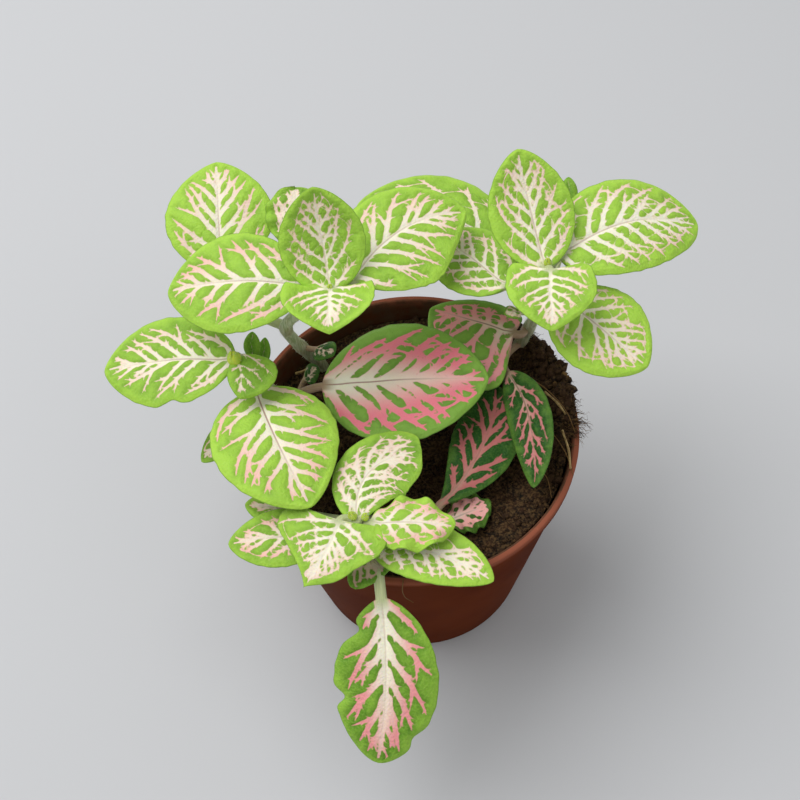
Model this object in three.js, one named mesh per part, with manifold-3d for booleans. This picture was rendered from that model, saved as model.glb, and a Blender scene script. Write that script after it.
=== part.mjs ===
// A nerve plant in a small nursery pot: a tapered plastic pot, peat, four leafy shoots and one short
// shoot, each leaf a blade with its own petiole. Millimetres, +Z up. The pot's axis is the Z axis and
// the pot stands on Z = 0. -Y is the front, where one leaf hangs over the rim; +X is the right.
import * as THREE from 'three';
import { mergeVertices } from 'three/addons/utils/BufferGeometryUtils.js';
import Module from 'manifold-3d';

const wasm = await Module();
wasm.setup();

// ---- driving dimensions -------------------------------------------------------------------------

const RIM_RADIUS = 30; // a 6 cm nursery pot, measured over the lip
const POT_HEIGHT = 50.5;
const BASE_RADIUS = 22.5;
const WALL = 0.9;
const FLOOR = 1.3;
const LIP_HEIGHT = 2.6;
const LIP_STEP = 0.8; // how far the lip stands out from the wall
const EDGE = 0.4; // rounding at the lip's top
const DRAIN_HOLES = 6;
const DRAIN_RADIUS = 2;
const DRAIN_CIRCLE = 14;
const DRAIN_SIDES = 12;
const ROUND_STEPS = 48;

const GAP = 0.3; // clearance between pieces that rest on one another
const SOIL_CENTRE = 44.6; // height of the peat on the pot's axis
const SOIL_LOW_EDGE = 45; // and where it meets the wall on its low side
const SOIL_SLOPE = 3.4; // how much higher it lies on the front right
const SOIL_SLOPE_AZIMUTH = -20;
const SOIL_HEAP_AZIMUTH = 25; // where the peat is heaped over the rim
const SOIL_HEAP_START = 0.585; // cosine of the angle from there at which the heap begins
const SOIL_HEAP_CLEAR = 0.6; // share of the heap at which it has cleared the rim
const SOIL_OVERHANG = 2.2; // how far the heap hangs out past the wall
const SOIL_CREST = 1.1; // and how high its crest stands over the rim
const SOIL_SKIN = 0.1; // height of the peat's small outer step
const SOIL_CURVE = 1.6; // how the surface dishes towards the middle
const SOIL_RINGS = [0.86, 0.68, 0.48, 0.26]; // where the surface's rings lie, as shares of its radius

const STEM_SIDES = 8;
const STEM_STEPS = 4; // rings between two points of a stem's path

const BLADE_RINGS = 10;
const BLADE_ACROSS = 4;
const RING_EVENNESS = 0.4; // 1 spaces a blade's rings evenly, 0 crowds them at its ends
const BLADE_START = 0.12; // share of the blade over which the petiole flattens out
const BLADE_EDGE = 0.02; // half the width that is left at the tip
const TIP_TAPER = 6; // how steeply the thickness falls off at the tip
const TIP_THICK = 0.35; // and the share of it that is left there
const LEFT_WAVE = 1.7; // how far the left margin's ripples lag behind the right one's, in radians
const BLADE_GRIP = 0.3; // how far the petiole's end reaches into the blade
const BLADE_GRIP_TAPER = 0.25;
const PETIOLE_RINGS = 4;
const PETIOLE_BEND = 0.45; // share of the petiole's length that runs straight into the midrib
const PETIOLE_FLAT = 0.95; // height of the petiole as a share of its width
const SEAT_STEPS = 120; // points along a stem among which a petiole finds its seat

const BUD_PROFILE = [[0, 0], [0.55, 0.06], [1, 0.35], [0.75, 0.68], [0.3, 0.93], [0, 1]];
const STRAW_SIDES = 6;
const STRAW_STEPS = 2;

// What a leaf has unless its own line says otherwise. Lengths in mm, angles in degrees; arch and sway
// are shares of the blade's length, cup and skew of its half width.
const LEAF_DEFAULTS = {
  roll: 0, // turn about the midrib, right side up
  arch: 0.06, // how far the midrib bows up
  sway: 0, // how far the midrib bows to the right
  cup: 0, // how far the margins rise
  skew: 0, // extra width on the right, taken from the left
  wide: 0.47, // where along the blade it is widest
  blunt: 0.5, // roundness at the base: smaller is rounder
  point: 0.62, // and at the tip
  wave: 0, // height of the margin's ripples
  waves: 3,
  petiole: 0.75, // radius of the stalk
  thick: 0.4, // half the blade's thickness at the midrib
  notches: [], // dips in the margin: side, place, length, depth
};

// ---- the shoots -----------------------------------------------------------------------------------
// A stem's path starts in the peat and runs up to its crown. A leaf's root is where its petiole leaves
// the stem, base and tip are the two ends of the blade's midrib.

const SHOOTS = {
  back_stem: {
    radius: 1.1,
    path: [[-15, 18.3, 38], [-15.8, 18, 46], [-17.8, 15.8, 53.5], [-20.2, 12.6, 65.5],
      [-16.8, 10.4, 72.5], [-12.6, 8.9, 76.8], [-11.2, 8.2, 79.6]],
    leaves: {
      back_leaf_left: {
        root: [-13.4, 9.4, 79], base: [-17, 10.5, 79.4], tip: [-38.5, 14.2, 75.5],
        width: 17.5, roll: 18, arch: 0.08, sway: 0.03,
      },
      back_leaf_upright: {
        root: [-11.2, 10, 80.4], base: [-10.8, 9.4, 82], tip: [-12.3, 18.2, 93],
        width: 13.8, arch: -0.08, cup: 0.12, blunt: 0.42,
      },
      back_leaf_front: {
        root: [-11.2, 6.7, 80.2], base: [-11, 6.2, 81.2], tip: [-11.5, -0.8, 80.5],
        width: 14, arch: 0.12, cup: 0.2, blunt: 0.36, wide: 0.34, point: 0.8,
      },
      back_leaf_right: {
        root: [-9.7, 9.2, 79], base: [-7.6, 10.4, 79.4], tip: [12, 22.5, 80.5],
        width: 19, roll: -12, arch: 0.04, sway: -0.12, skew: 0.12, blunt: 0.36,
      },
      back_leaf_rear: {
        root: [-21.1, 13.5, 66.5], base: [-30.6, 22, 71], tip: [-30.7, 41.6, 78], width: 19,
      },
      back_leaf_young: {
        root: [-14.3, 10.9, 75.2], base: [-18, 21, 76], tip: [-18.6, 32.3, 80],
        width: 8.5, arch: 0, wave: 0.6, waves: 4,
      },
      shade_leaf_back: {
        root: [-17.3, 14.3, 57], base: [-15.6, 13.2, 58], tip: [-12.5, 10.5, 59.5],
        width: 5, arch: 0.1, petiole: 0.5, dark: true,
      },
    },
  },
  left_stem: {
    radius: 1.1,
    path: [[-18.6, 6.9, 38], [-20, 6.4, 46], [-22.6, 5.8, 54], [-28.2, 5.3, 66]],
    leaves: {
      left_leaf_outer: {
        root: [-29.6, 5.7, 66], base: [-30.6, 5.9, 67], tip: [-51.6, 7.2, 64.5],
        width: 17, roll: 10, arch: 0.04, sway: 0.03, notches: [[-1, 0.45, 0.07, 0.14]],
      },
      left_leaf_small: {
        root: [-26.7, 5, 66.4], base: [-25.9, 4.9, 67], tip: [-25.5, -1.4, 65.6],
        width: 7.2, arch: 0.1, sway: -0.06, skew: -0.3,
      },
      left_leaf_broad: {
        root: [-25, 4.1, 58.5], base: [-25.4, 1.8, 61], tip: [-16.8, -20.6, 62],
        width: 21, roll: 4, arch: 0.08, sway: 0.03, blunt: 0.42, wide: 0.44,
      },
      left_leaf_under: {
        root: [-24.1, 5.9, 54], base: [-29, 2.5, 54.5], tip: [-37.5, -3.6, 50],
        width: 6, arch: 0.04,
      },
      left_leaflet_1: {
        root: [-24.1, 7, 58], base: [-23.8, 9.2, 60.5], tip: [-22.8, 12.6, 64],
        width: 3, arch: 0.1, petiole: 0.5,
      },
      left_leaflet_2: {
        root: [-26.2, 6.8, 62], base: [-26.4, 8.6, 63], tip: [-26, 12.2, 66],
        width: 3, arch: 0.1, petiole: 0.5,
      },
      pink_leaf_broad: {
        root: [-20.9, 6.2, 53.5], base: [-14.7, 5, 58], tip: [13.9, 1.5, 61.5],
        width: 23, roll: -8, arch: 0.045, dark: true,
      },
      shade_leaf_left: {
        root: [-20.4, 7.6, 50], base: [-18.4, 10.4, 53], tip: [-15.6, 11, 55],
        width: 4.5, arch: 0.1, petiole: 0.5, dark: true,
      },
    },
  },
  right_stem: {
    radius: 1.1,
    path: [[18, 15, 38], [20.5, 16, 47], [22.4, 15.6, 54], [24, 12, 68], [23.7, 9.8, 79.5]],
    leaves: {
      right_leaf_upright: {
        root: [23.3, 11.6, 80.2], base: [22.9, 11.4, 81.5], tip: [20.3, 25, 91],
        width: 14.2, arch: -0.04, cup: 0.1,
      },
      right_leaf_outer: {
        root: [25, 10.8, 77.5], base: [28.5, 14.6, 78], tip: [50.7, 19.2, 76],
        width: 17.2, roll: -14, arch: 0.11, sway: -0.08,
      },
      right_leaf_front: {
        root: [23.7, 8.2, 80], base: [23.7, 7.6, 81], tip: [22.6, -2.6, 79],
        width: 13.6, arch: 0.1, cup: 0.12, blunt: 0.36, wide: 0.34, point: 0.75,
      },
      right_leaf_lower: {
        root: [25.2, 9.6, 73.6], base: [26.3, 7.9, 74.3], tip: [38.2, -5.2, 71],
        width: 16.2, arch: 0.05, sway: 0.02, blunt: 0.4,
      },
      right_leaf_inner: {
        root: [22.8, 10.7, 72.5], base: [17.8, 10.6, 74.5], tip: [7, 24.4, 73.4],
        width: 13.5, roll: 8, arch: 0.04,
      },
      right_leaf_rear: {
        root: [23.2, 13.2, 68], base: [19.2, 23.6, 69.6], tip: [-6.6, 34.7, 71],
        width: 21, arch: 0.05, sway: 0.06,
      },
      right_leaflet_rear: {
        root: [25.2, 12.9, 69], base: [30.6, 28, 73], tip: [31.2, 33, 76],
        width: 3.2, arch: 0.1, petiole: 0.5,
      },
      right_leaflet_curled: {
        root: [22.8, 11.3, 66], base: [20, 10.2, 68], tip: [17.2, 9.2, 69],
        width: 3.2, arch: 0.1, petiole: 0.5,
      },
      pink_leaf_rear: {
        root: [20.7, 14.6, 57.2], base: [19.2, 13, 58.6], tip: [5.3, 20.3, 58],
        width: 16.5, roll: 8, arch: 0.04, blunt: 0.36, wide: 0.34, skew: -0.38, dark: true,
      },
      pink_leaf_narrow: {
        root: [20.3, 13.4, 51.5], base: [18, 6, 56], tip: [19.5, -16.4, 54.5],
        width: 8, roll: -28, arch: 0.07, sway: -0.11, dark: true,
      },
    },
  },
  front_stem: {
    radius: 1.1,
    path: [[-6, -15, 38], [-6.6, -16.5, 46], [-7.4, -19.2, 52], [-9.5, -22.4, 59.4]],
    leaves: {
      front_leaf_upright: {
        root: [-9.7, -21.2, 60.4], base: [-9.8, -20.8, 61.6], tip: [1, -9.9, 60.4],
        width: 12.5, arch: 0, sway: -0.22, cup: 0.05, blunt: 0.4, point: 0.42,
      },
      front_leaf_left: {
        root: [-11, -23, 60.2], base: [-11.8, -23.4, 60.8], tip: [-18.4, -32.4, 58.5],
        width: 14.6, arch: 0.08, blunt: 0.34, wide: 0.34,
      },
      front_leaf_crumpled: {
        root: [-8, -23, 58.8], base: [-5.3, -23.6, 59.6], tip: [5.5, -25.2, 60.5],
        width: 9.5, wave: 0.6,
      },
      front_leaf_right: {
        root: [-7.8, -22.3, 56], base: [-5.3, -26, 56.4], tip: [10.7, -33.6, 57.5],
        width: 10, roll: -4, arch: 0.04, sway: -0.06,
      },
      front_leaf_outer: {
        root: [-10, -22, 57], base: [-14.4, -23.4, 57.8], tip: [-30.9, -23.4, 57],
        width: 10, roll: 5, arch: 0.05,
      },
      front_leaf_behind: {
        root: [-9.6, -20.6, 55], base: [-19.3, -18.3, 56], tip: [-28.5, -15.9, 56],
        width: 6, arch: 0.05,
      },
      front_leaf_under: {
        root: [-8.5, -21.8, 54.6], base: [-10.2, -25.2, 55], tip: [-10.8, -31.2, 54.6],
        width: 9.5, arch: 0.03,
      },
      hanging_leaf: {
        root: [-7.2, -20.4, 50.5], base: [-7, -33, 53], tip: [-9.6, -54.7, 38],
        width: 16.8, arch: 0.05, sway: -0.04, petiole: 0.9, blunt: 0.58, point: 0.55, wide: 0.5,
        notches: [[1, 0.18, 0.05, 0.3], [1, 0.6, 0.05, 0.2], [-1, 0.82, 0.05, 0.18]],
      },
    },
  },
  short_stem: {
    radius: 0.9,
    path: [[1.2, -19.6, 40], [1.5, -19.5, 44], [1.8, -19.3, 48.6]],
    leaves: {
      pink_leaf_low: {
        root: [2.3, -18.3, 49.3], base: [3.2, -17.2, 51.5], tip: [15.8, 4.6, 54.5],
        width: 11.5, roll: -6, arch: 0.03, sway: 0.1, dark: true,
      },
      pink_leaf_crumpled: {
        root: [3.1, -19.6, 47.4], base: [5.1, -18.2, 48.4], tip: [12.6, -16.3, 49.6],
        width: 7.5, arch: 0.05, wave: 0.8, waves: 4, petiole: 0.6, dark: true,
      },
    },
  },
};

// Folded young leaves at the crowns.
const BUDS = {
  back_bud: { at: [-11.2, 8, 80], to: [-11, 7.7, 82.2], radius: 0.5 },
  left_bud: { at: [-28.6, 5.4, 66.6], to: [-28.6, 5.2, 69.6], radius: 1.1 },
  right_bud: { at: [23.7, 9.8, 80.1], to: [23.6, 9.6, 82.8], radius: 0.7 },
  front_bud_1: { at: [-10.2, -22.4, 60.9], to: [-10.8, -22.0, 64.0], radius: 0.8 },
  front_bud_2: { at: [-8.4, -22.4, 60.3], to: [-8.0, -21.8, 63.2], radius: 0.7 },
};

// Bits of straw in the peat.
const STRAWS = {
  straw_left: { radius: 0.4, path: [[-21, 16.2, 46.6], [-19.4, 16.6, 46.8], [-17.8, 17.2, 46.8]] },
  straw_right: { radius: 0.3, path: [[24.5, 3.6, 52.6], [26.2, 1.2, 52.8], [27.4, -1.4, 52.8]] },
  straw_front: { radius: 0.3, path: [[26.4, -4.4, 52.3], [27, -8, 51.5], [26.8, -11.6, 51.3]] },
};

// ---- colours ----------------------------------------------------------------------------------------

const LIME_LEAF = new THREE.MeshStandardMaterial({ color: 0x8cc83c, roughness: 0.5, metalness: 0 });
const DARK_LEAF = new THREE.MeshStandardMaterial({ color: 0x4f8c33, roughness: 0.45, metalness: 0 });
const STEM_GREEN = new THREE.MeshStandardMaterial({ color: 0xa9b783, roughness: 0.6, metalness: 0 });
const BUD_GREEN = new THREE.MeshStandardMaterial({ color: 0xb4cc3c, roughness: 0.55, metalness: 0 });
const POT_PLASTIC = new THREE.MeshStandardMaterial({ color: 0x9c4f3a, roughness: 0.5, metalness: 0 });
const PEAT = new THREE.MeshStandardMaterial({ color: 0x2e2018, roughness: 0.95, metalness: 0 });
const STRAW = new THREE.MeshStandardMaterial({ color: 0xa98a52, roughness: 0.8, metalness: 0 });

// ---- helpers ----------------------------------------------------------------------------------------

const vec = ([x, y, z]) => new THREE.Vector3(x, y, z);
const radians = THREE.MathUtils.degToRad;
const { clamp, lerp, smoothstep } = THREE.MathUtils;

// A closed geometry as a solid: only its positions count, with shared vertices merged.
function toSolid(geometry) {
  const bare = geometry.clone();
  bare.deleteAttribute('normal');
  bare.deleteAttribute('uv');
  const merged = mergeVertices(bare, 1e-4);
  return new wasm.Manifold(new wasm.Mesh({
    numProp: 3,
    vertProperties: new Float32Array(merged.attributes.position.array),
    triVerts: new Uint32Array(merged.index.array),
  }));
}

function toGeometry(solid) {
  const mesh = solid.getMesh();
  const geometry = new THREE.BufferGeometry();
  geometry.setAttribute('position', new THREE.BufferAttribute(mesh.vertProperties, 3));
  geometry.setIndex(new THREE.BufferAttribute(mesh.triVerts, 1));
  geometry.computeVertexNormals();
  return geometry;
}

// Skins a row of closed rings, all with the same number of points, and closes both ends. From point
// turnedFrom on, the quads are cut along their other diagonal.
function skin(rings, turnedFrom = Infinity) {
  const around = rings[0].length;
  const points = rings.flat();
  const faces = [];
  for (let i = 0; i < rings.length - 1; i += 1) {
    for (let j = 0; j < around; j += 1) {
      const a = i * around + j;
      const b = i * around + (j + 1) % around;
      if (j < turnedFrom) faces.push(a, b, b + around, a, b + around, a + around);
      else faces.push(a, b, a + around, b, b + around, a + around);
    }
  }
  for (const [row, flip] of [[0, true], [rings.length - 1, false]]) {
    const middle = rings[row].reduce((sum, p) => sum.add(p), new THREE.Vector3()).divideScalar(around);
    points.push(middle);
    for (let j = 0; j < around; j += 1) {
      const a = row * around + j;
      const b = row * around + (j + 1) % around;
      faces.push(points.length - 1, flip ? b : a, flip ? a : b);
    }
  }
  const geometry = new THREE.BufferGeometry().setFromPoints(points);
  geometry.setIndex(faces);
  geometry.computeVertexNormals();
  return geometry;
}

const smoothPath = (path) => new THREE.CatmullRomCurve3(path.map(vec), false, 'catmullrom');

// A round rod of one radius along a smooth path.
function rod(path, radius, sides, steps) {
  const section = new THREE.Shape().absarc(0, 0, radius, 0, 2 * Math.PI);
  return new THREE.ExtrudeGeometry(section, {
    steps: steps * (path.length - 1),
    curveSegments: sides / 2,
    bevelEnabled: false,
    extrudePath: smoothPath(path),
  });
}

// ---- pot and peat -----------------------------------------------------------------------------------

const LIP_BOTTOM = POT_HEIGHT - LIP_HEIGHT;
const WALL_TOP_RADIUS = RIM_RADIUS - LIP_STEP;

// Radius of the pot's wall at a height, outside and inside.
const wallRadius = (z) => lerp(BASE_RADIUS, WALL_TOP_RADIUS, Math.min(1, z / LIP_BOTTOM));
const innerRadius = (z) => wallRadius(z) - WALL;

function potGeometry() {
  const mouth = innerRadius(POT_HEIGHT);
  const profile = [
    [0, 0],
    [BASE_RADIUS, 0],
    [WALL_TOP_RADIUS, LIP_BOTTOM],
    [RIM_RADIUS, LIP_BOTTOM + EDGE],
    [RIM_RADIUS, POT_HEIGHT - EDGE],
    [RIM_RADIUS - EDGE, POT_HEIGHT],
    [mouth + 1.5 * EDGE, POT_HEIGHT],
    [mouth + EDGE / 2, POT_HEIGHT - EDGE],
    [mouth, LIP_BOTTOM],
    [innerRadius(FLOOR), FLOOR],
    [0, FLOOR],
  ].map(([r, z]) => new THREE.Vector2(r, z));
  let pot = toSolid(new THREE.LatheGeometry(profile, ROUND_STEPS).rotateX(Math.PI / 2));
  for (let i = 0; i < DRAIN_HOLES; i += 1) {
    const azimuth = radians(i * 360 / DRAIN_HOLES);
    const hole = new THREE.CylinderGeometry(DRAIN_RADIUS, DRAIN_RADIUS, 3 * FLOOR, DRAIN_SIDES);
    hole.rotateX(Math.PI / 2);
    hole.translate(DRAIN_CIRCLE * Math.cos(azimuth), DRAIN_CIRCLE * Math.sin(azimuth), FLOOR / 2);
    pot = pot.subtract(toSolid(hole));
  }
  return toGeometry(pot);
}

// How much of the heap lies at an azimuth, from 0 to 1.
const heapShare = (azimuth) =>
  smoothstep(Math.cos(azimuth - radians(SOIL_HEAP_AZIMUTH)), SOIL_HEAP_START, 1);

// Height of the peat where it meets the pot at an azimuth.
function soilEdge(azimuth) {
  const slope = smoothstep(0.5 + 0.5 * Math.cos(azimuth - radians(SOIL_SLOPE_AZIMUTH)), 0, 1);
  const low = SOIL_LOW_EDGE + SOIL_SLOPE * slope;
  return lerp(low, POT_HEIGHT + 2 * GAP, Math.min(1, heapShare(azimuth) / SOIL_HEAP_CLEAR));
}

function soilGeometry() {
  const edgeRadius = (azimuth) => innerRadius(soilEdge(azimuth) - GAP) - GAP;
  const overhang = (azimuth) =>
    SOIL_OVERHANG * clamp((heapShare(azimuth) - SOIL_HEAP_CLEAR) / (1 - SOIL_HEAP_CLEAR), 0, 1);
  // One function per ring, outside to inside: azimuth to radius and height.
  const outline = [
    () => [innerRadius(FLOOR) - GAP, FLOOR + GAP],
    () => [innerRadius(SOIL_LOW_EDGE - 1) - GAP, SOIL_LOW_EDGE - 1],
    (a) => [edgeRadius(a) - SOIL_SKIN / 2, soilEdge(a) - GAP],
    (a) => [edgeRadius(a) + overhang(a), soilEdge(a) + SOIL_SKIN],
    (a) => [edgeRadius(a) - 1 + overhang(a) / 2, soilEdge(a) + SOIL_CREST * heapShare(a) + 2 * SOIL_SKIN],
    ...SOIL_RINGS.map((share) => (a) => [
      edgeRadius(a) * share,
      lerp(SOIL_CENTRE, soilEdge(a), share ** SOIL_CURVE),
    ]),
  ];
  const rings = outline.map((ring) => Array.from({ length: ROUND_STEPS }, (_, i) => {
    const azimuth = i * 2 * Math.PI / ROUND_STEPS;
    const [radius, height] = ring(azimuth);
    return new THREE.Vector3(radius * Math.cos(azimuth), radius * Math.sin(azimuth), height);
  }));
  // Each stem stands in a socket of its own, a gap wider than the stem.
  let soil = toSolid(skin(rings));
  for (const { path, radius } of Object.values(SHOOTS)) {
    const foot = path.map(([x, y, z], i) => (i === 0 ? [x, y, z - GAP] : [x, y, z]));
    soil = soil.subtract(toSolid(rod(foot, radius + GAP, STEM_SIDES, STEM_STEPS)));
  }
  return toGeometry(soil);
}

// ---- leaves -------------------------------------------------------------------------------------------

// Where a petiole starts: a gap clear of its stem, on the side the leaf's own root gives. A petiole
// that leans along the stem starts further out, so that its end clears the stem too.
function seat(root, bend, petiole, stem) {
  const nearest = smoothPath(stem.path).getSpacedPoints(SEAT_STEPS)
    .reduce((best, p) => (p.distanceTo(root) < best.distanceTo(root) ? p : best));
  const outward = root.clone().sub(nearest).normalize();
  const heading = bend.clone().sub(root).normalize();
  const lean = outward.cross(heading).length();
  return nearest.clone().add(root.clone().sub(nearest).setLength(stem.radius + GAP + petiole * lean));
}

// The blade is a row of rings across its midrib, the petiole a row of round ones before it. Each ring
// runs over the top from left to right and back underneath.
function leafGeometry(line, stem) {
  const leaf = { ...LEAF_DEFAULTS, ...line };
  const base = vec(leaf.base);
  const chord = vec(leaf.tip).sub(base);
  const length = chord.length();
  const ahead = chord.clone().normalize();
  const flat = new THREE.Vector3().crossVectors(ahead, new THREE.Vector3(0, 0, 1)).normalize();
  const side = flat.clone().applyAxisAngle(ahead, -radians(leaf.roll));
  const up = new THREE.Vector3().crossVectors(side, ahead);

  const midrib = (u) => {
    const bow = 4 * u * (1 - u) * length;
    return base.clone().addScaledVector(ahead, length * u)
      .addScaledVector(up, leaf.arch * bow).addScaledVector(side, leaf.sway * bow);
  };
  const heading = (u) => {
    const slope = 4 * (1 - 2 * u) * length;
    return ahead.clone().multiplyScalar(length)
      .addScaledVector(up, leaf.arch * slope).addScaledVector(side, leaf.sway * slope).normalize();
  };
  const bendBefore = (root) =>
    base.clone().addScaledVector(heading(0), -PETIOLE_BEND * base.distanceTo(root));
  const root = seat(vec(leaf.root), bendBefore(vec(leaf.root)), leaf.petiole, stem);
  const stalk = new THREE.QuadraticBezierCurve3(root, bendBefore(root), base);

  const early = Math.log(0.5) / Math.log(leaf.wide);
  const halfWidth = (u, sign) => {
    const round = lerp(leaf.blunt, leaf.point, u);
    let half = leaf.width / 2 * Math.max(0, Math.sin(Math.PI * u ** early)) ** round;
    half *= 1 + sign * leaf.skew;
    for (const [notchSide, place, reach, depth] of leaf.notches) {
      if (notchSide === sign) half *= 1 - depth * Math.exp(-(((u - place) / reach) ** 2));
    }
    return Math.max(half, leaf.petiole * (1 - u) + BLADE_EDGE);
  };

  // One ring: its centre, its heading and how far along the blade it is; u is 0 on the petiole.
  const ring = (centre, along, u, onBlade) => {
    const across = side.clone().addScaledVector(along, -side.dot(along)).normalize();
    const normal = new THREE.Vector3().crossVectors(across, along);
    const blade = clamp(u / BLADE_START, 0, 1);
    const taper = clamp((1 - u) * TIP_TAPER + TIP_THICK, 0, 1);
    const half = leaf.petiole * PETIOLE_FLAT * (1 - blade) + leaf.thick * blade * taper;
    const place = (v, face) => {
      const sign = v < 0 ? -1 : 1;
      const width = onBlade ? halfWidth(u, sign) : leaf.petiole + BLADE_EDGE;
      const ripple = Math.sin(2 * Math.PI * leaf.waves * u + (v < 0 ? LEFT_WAVE : 0));
      const lift = (width * leaf.cup + leaf.wave * ripple) * v * v * blade;
      return centre.clone().addScaledVector(across, width * v)
        .addScaledVector(normal, lift + face * half * Math.sqrt(1 - v * v));
    };
    const share = (i) => 2 * i / BLADE_ACROSS - 1;
    const over = Array.from({ length: BLADE_ACROSS + 1 }, (_, i) => place(share(i), 1));
    const under = Array.from({ length: BLADE_ACROSS - 1 }, (_, i) => place(-share(i + 1), -1));
    return [...over, ...under];
  };

  const rings = [];
  for (let i = 0; i <= BLADE_RINGS; i += 1) {
    const even = i / BLADE_RINGS;
    const u = lerp((1 - Math.cos(Math.PI * even)) / 2, even, RING_EVENNESS);
    rings.push(ring(midrib(u), heading(u), u, true));
  }
  // Underneath, the quads are cut as on top, so that the two faces of a wavy blade can't cross. The
  // petiole's stretches are hulls, so that a tight bend can't fold it over; the last grips the blade.
  let solid = toSolid(skin(rings, BLADE_ACROSS));
  const grip = rings[0].map((p) =>
    p.clone().lerp(base, BLADE_GRIP_TAPER).addScaledVector(heading(0), BLADE_GRIP));
  let after = [...rings[0], ...grip];
  for (let i = PETIOLE_RINGS - 1; i >= 0; i -= 1) {
    const s = i / PETIOLE_RINGS;
    const before = ring(stalk.getPoint(s), stalk.getTangent(s), 0, false);
    const corners = [...before, ...after].map((p) => p.toArray().map(Math.fround));
    solid = solid.add(wasm.Manifold.hull(corners));
    after = before;
  }
  return toGeometry(solid);
}

// A folded young leaf: a spindle, widest a third of the way up.
function budGeometry({ at, to, radius }) {
  const axis = vec(to).sub(vec(at));
  const profile = BUD_PROFILE.map(([r, h]) => new THREE.Vector2(r * radius, h * axis.length()));
  const geometry = new THREE.LatheGeometry(profile, STEM_SIDES);
  const turn = new THREE.Quaternion().setFromUnitVectors(new THREE.Vector3(0, 1, 0), axis.normalize());
  return geometry.applyQuaternion(turn).translate(...at);
}

// ---- the assembly ---------------------------------------------------------------------------------------

const group = new THREE.Group();

function add(name, geometry, material) {
  const mesh = new THREE.Mesh(geometry, material);
  mesh.name = name;
  group.add(mesh);
}

add('pot', potGeometry(), POT_PLASTIC);
add('soil', soilGeometry(), PEAT);
for (const [stemName, stem] of Object.entries(SHOOTS)) {
  add(stemName, rod(stem.path, stem.radius, STEM_SIDES, STEM_STEPS), STEM_GREEN);
  for (const [name, leaf] of Object.entries(stem.leaves)) {
    add(name, leafGeometry(leaf, stem), leaf.dark ? DARK_LEAF : LIME_LEAF);
  }
}
for (const [name, bud] of Object.entries(BUDS)) add(name, budGeometry(bud), BUD_GREEN);
for (const [name, { path, radius }] of Object.entries(STRAWS)) {
  add(name, rod(path, radius, STRAW_SIDES, STRAW_STEPS), STRAW);
}

export default group;
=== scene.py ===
"""Looks of a potted nerve plant, worked out around its solid model.

Every leaf is a fine grid over its midrib and its width, with a vein network of its own that sinks into
the blade and colours it. Stems, buds, peat, straw and pot are grids and swept profiles too. Sizes in
this file are millimetres and angles degrees, unless a comment says otherwise; meshes are in metres.
"""

import math
from itertools import product

import bpy
import numpy as np
from mathutils import Matrix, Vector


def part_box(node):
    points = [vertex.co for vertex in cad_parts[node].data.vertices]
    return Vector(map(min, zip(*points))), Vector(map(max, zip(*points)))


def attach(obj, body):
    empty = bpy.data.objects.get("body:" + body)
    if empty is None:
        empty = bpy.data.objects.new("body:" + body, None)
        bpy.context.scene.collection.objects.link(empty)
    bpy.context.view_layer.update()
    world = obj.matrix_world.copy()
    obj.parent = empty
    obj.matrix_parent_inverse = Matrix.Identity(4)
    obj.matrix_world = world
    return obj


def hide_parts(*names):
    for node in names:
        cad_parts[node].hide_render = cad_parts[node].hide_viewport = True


bl_info = {
    "name": "Potted Nerve Plant",
    "version": (1, 0, 0),
    "blender": (4, 5, 0),
    "location": "View3D > Sidebar > Nerve Plant",
    "description": "Builds the leaves, stems, peat and pot of a small nerve plant",
    "category": "Add Mesh",
}

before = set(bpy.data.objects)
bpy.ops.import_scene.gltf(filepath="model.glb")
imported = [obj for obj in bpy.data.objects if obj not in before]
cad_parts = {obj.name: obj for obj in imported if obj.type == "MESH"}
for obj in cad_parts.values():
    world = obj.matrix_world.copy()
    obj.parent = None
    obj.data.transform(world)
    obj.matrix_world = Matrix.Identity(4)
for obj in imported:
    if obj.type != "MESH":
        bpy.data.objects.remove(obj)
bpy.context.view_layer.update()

MM = 0.001
SEED = 52

# ---- the plant ----
# Root, base and tip are the petiole's foot and the two ends of the blade's midrib.

LEAF = {
    # the midrib: the blade's turn about it; how far it bows up and to the right, as shares of its length
    "roll": 0, "arch": 0.06, "sway": 0,
    # the outline: where the blade is widest, how lean it is at the base and at the tip, how much wider the
    # right half is, and dips in the margin, each with its side (1 is right), place, reach and depth
    "wide": 0.47, "blunt": 0.5, "point": 0.62, "skew": 0, "notches": (),
    # how far the margins next to the stem are swept back round it, as a share of the half width
    "clasp": 0,
    # how far the margins turn up, as a share of the half width; height and number of the margin's waves
    "cup": 0, "wave": 0, "waves": 3,
    # half the petiole's thickness
    "petiole": 0.75,
    # the veins: pairs of side veins, their angles to the midrib at the base and at the tip, how wide
    # they are, how many spurs and cross veins they carry, the plain margin and their flare at the midrib
    "pairs": 6, "fan": (70, 38), "bold": 1.0, "net": 0.4, "rim": 1.7, "flush": 0.3,
    # the part of their angle that side veins lose on the way, at the base and at the tip
    "curve": (0.44, 0.26),
    # the colours: how bright the tissue is, partly the leaf's own tone and partly painted shade and light for
    # how the leaf lies in the light (a low one also darkens the veins as painted shade), how far and how
    # strongly the veins turn pink, how strong the midrib's line is, and from where to where the pink grows
    "tone": 0.6, "pink": 0.46, "hot": 0.0, "line": 0.5, "blush": (0.12, 0.95),
}
LEAFLET = dict(arch=0.1, petiole=0.5, pairs=0, rim=0.5, bold=0.35, line=0.0)
SHADE_LEAF = dict(
    arch=0.1, petiole=0.5, pairs=4, rim=0.6, bold=0.2, net=0.1, flush=0.0,
    dark=True, tone=0.12, pink=0.0, hot=0.3, line=0.0)

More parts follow.
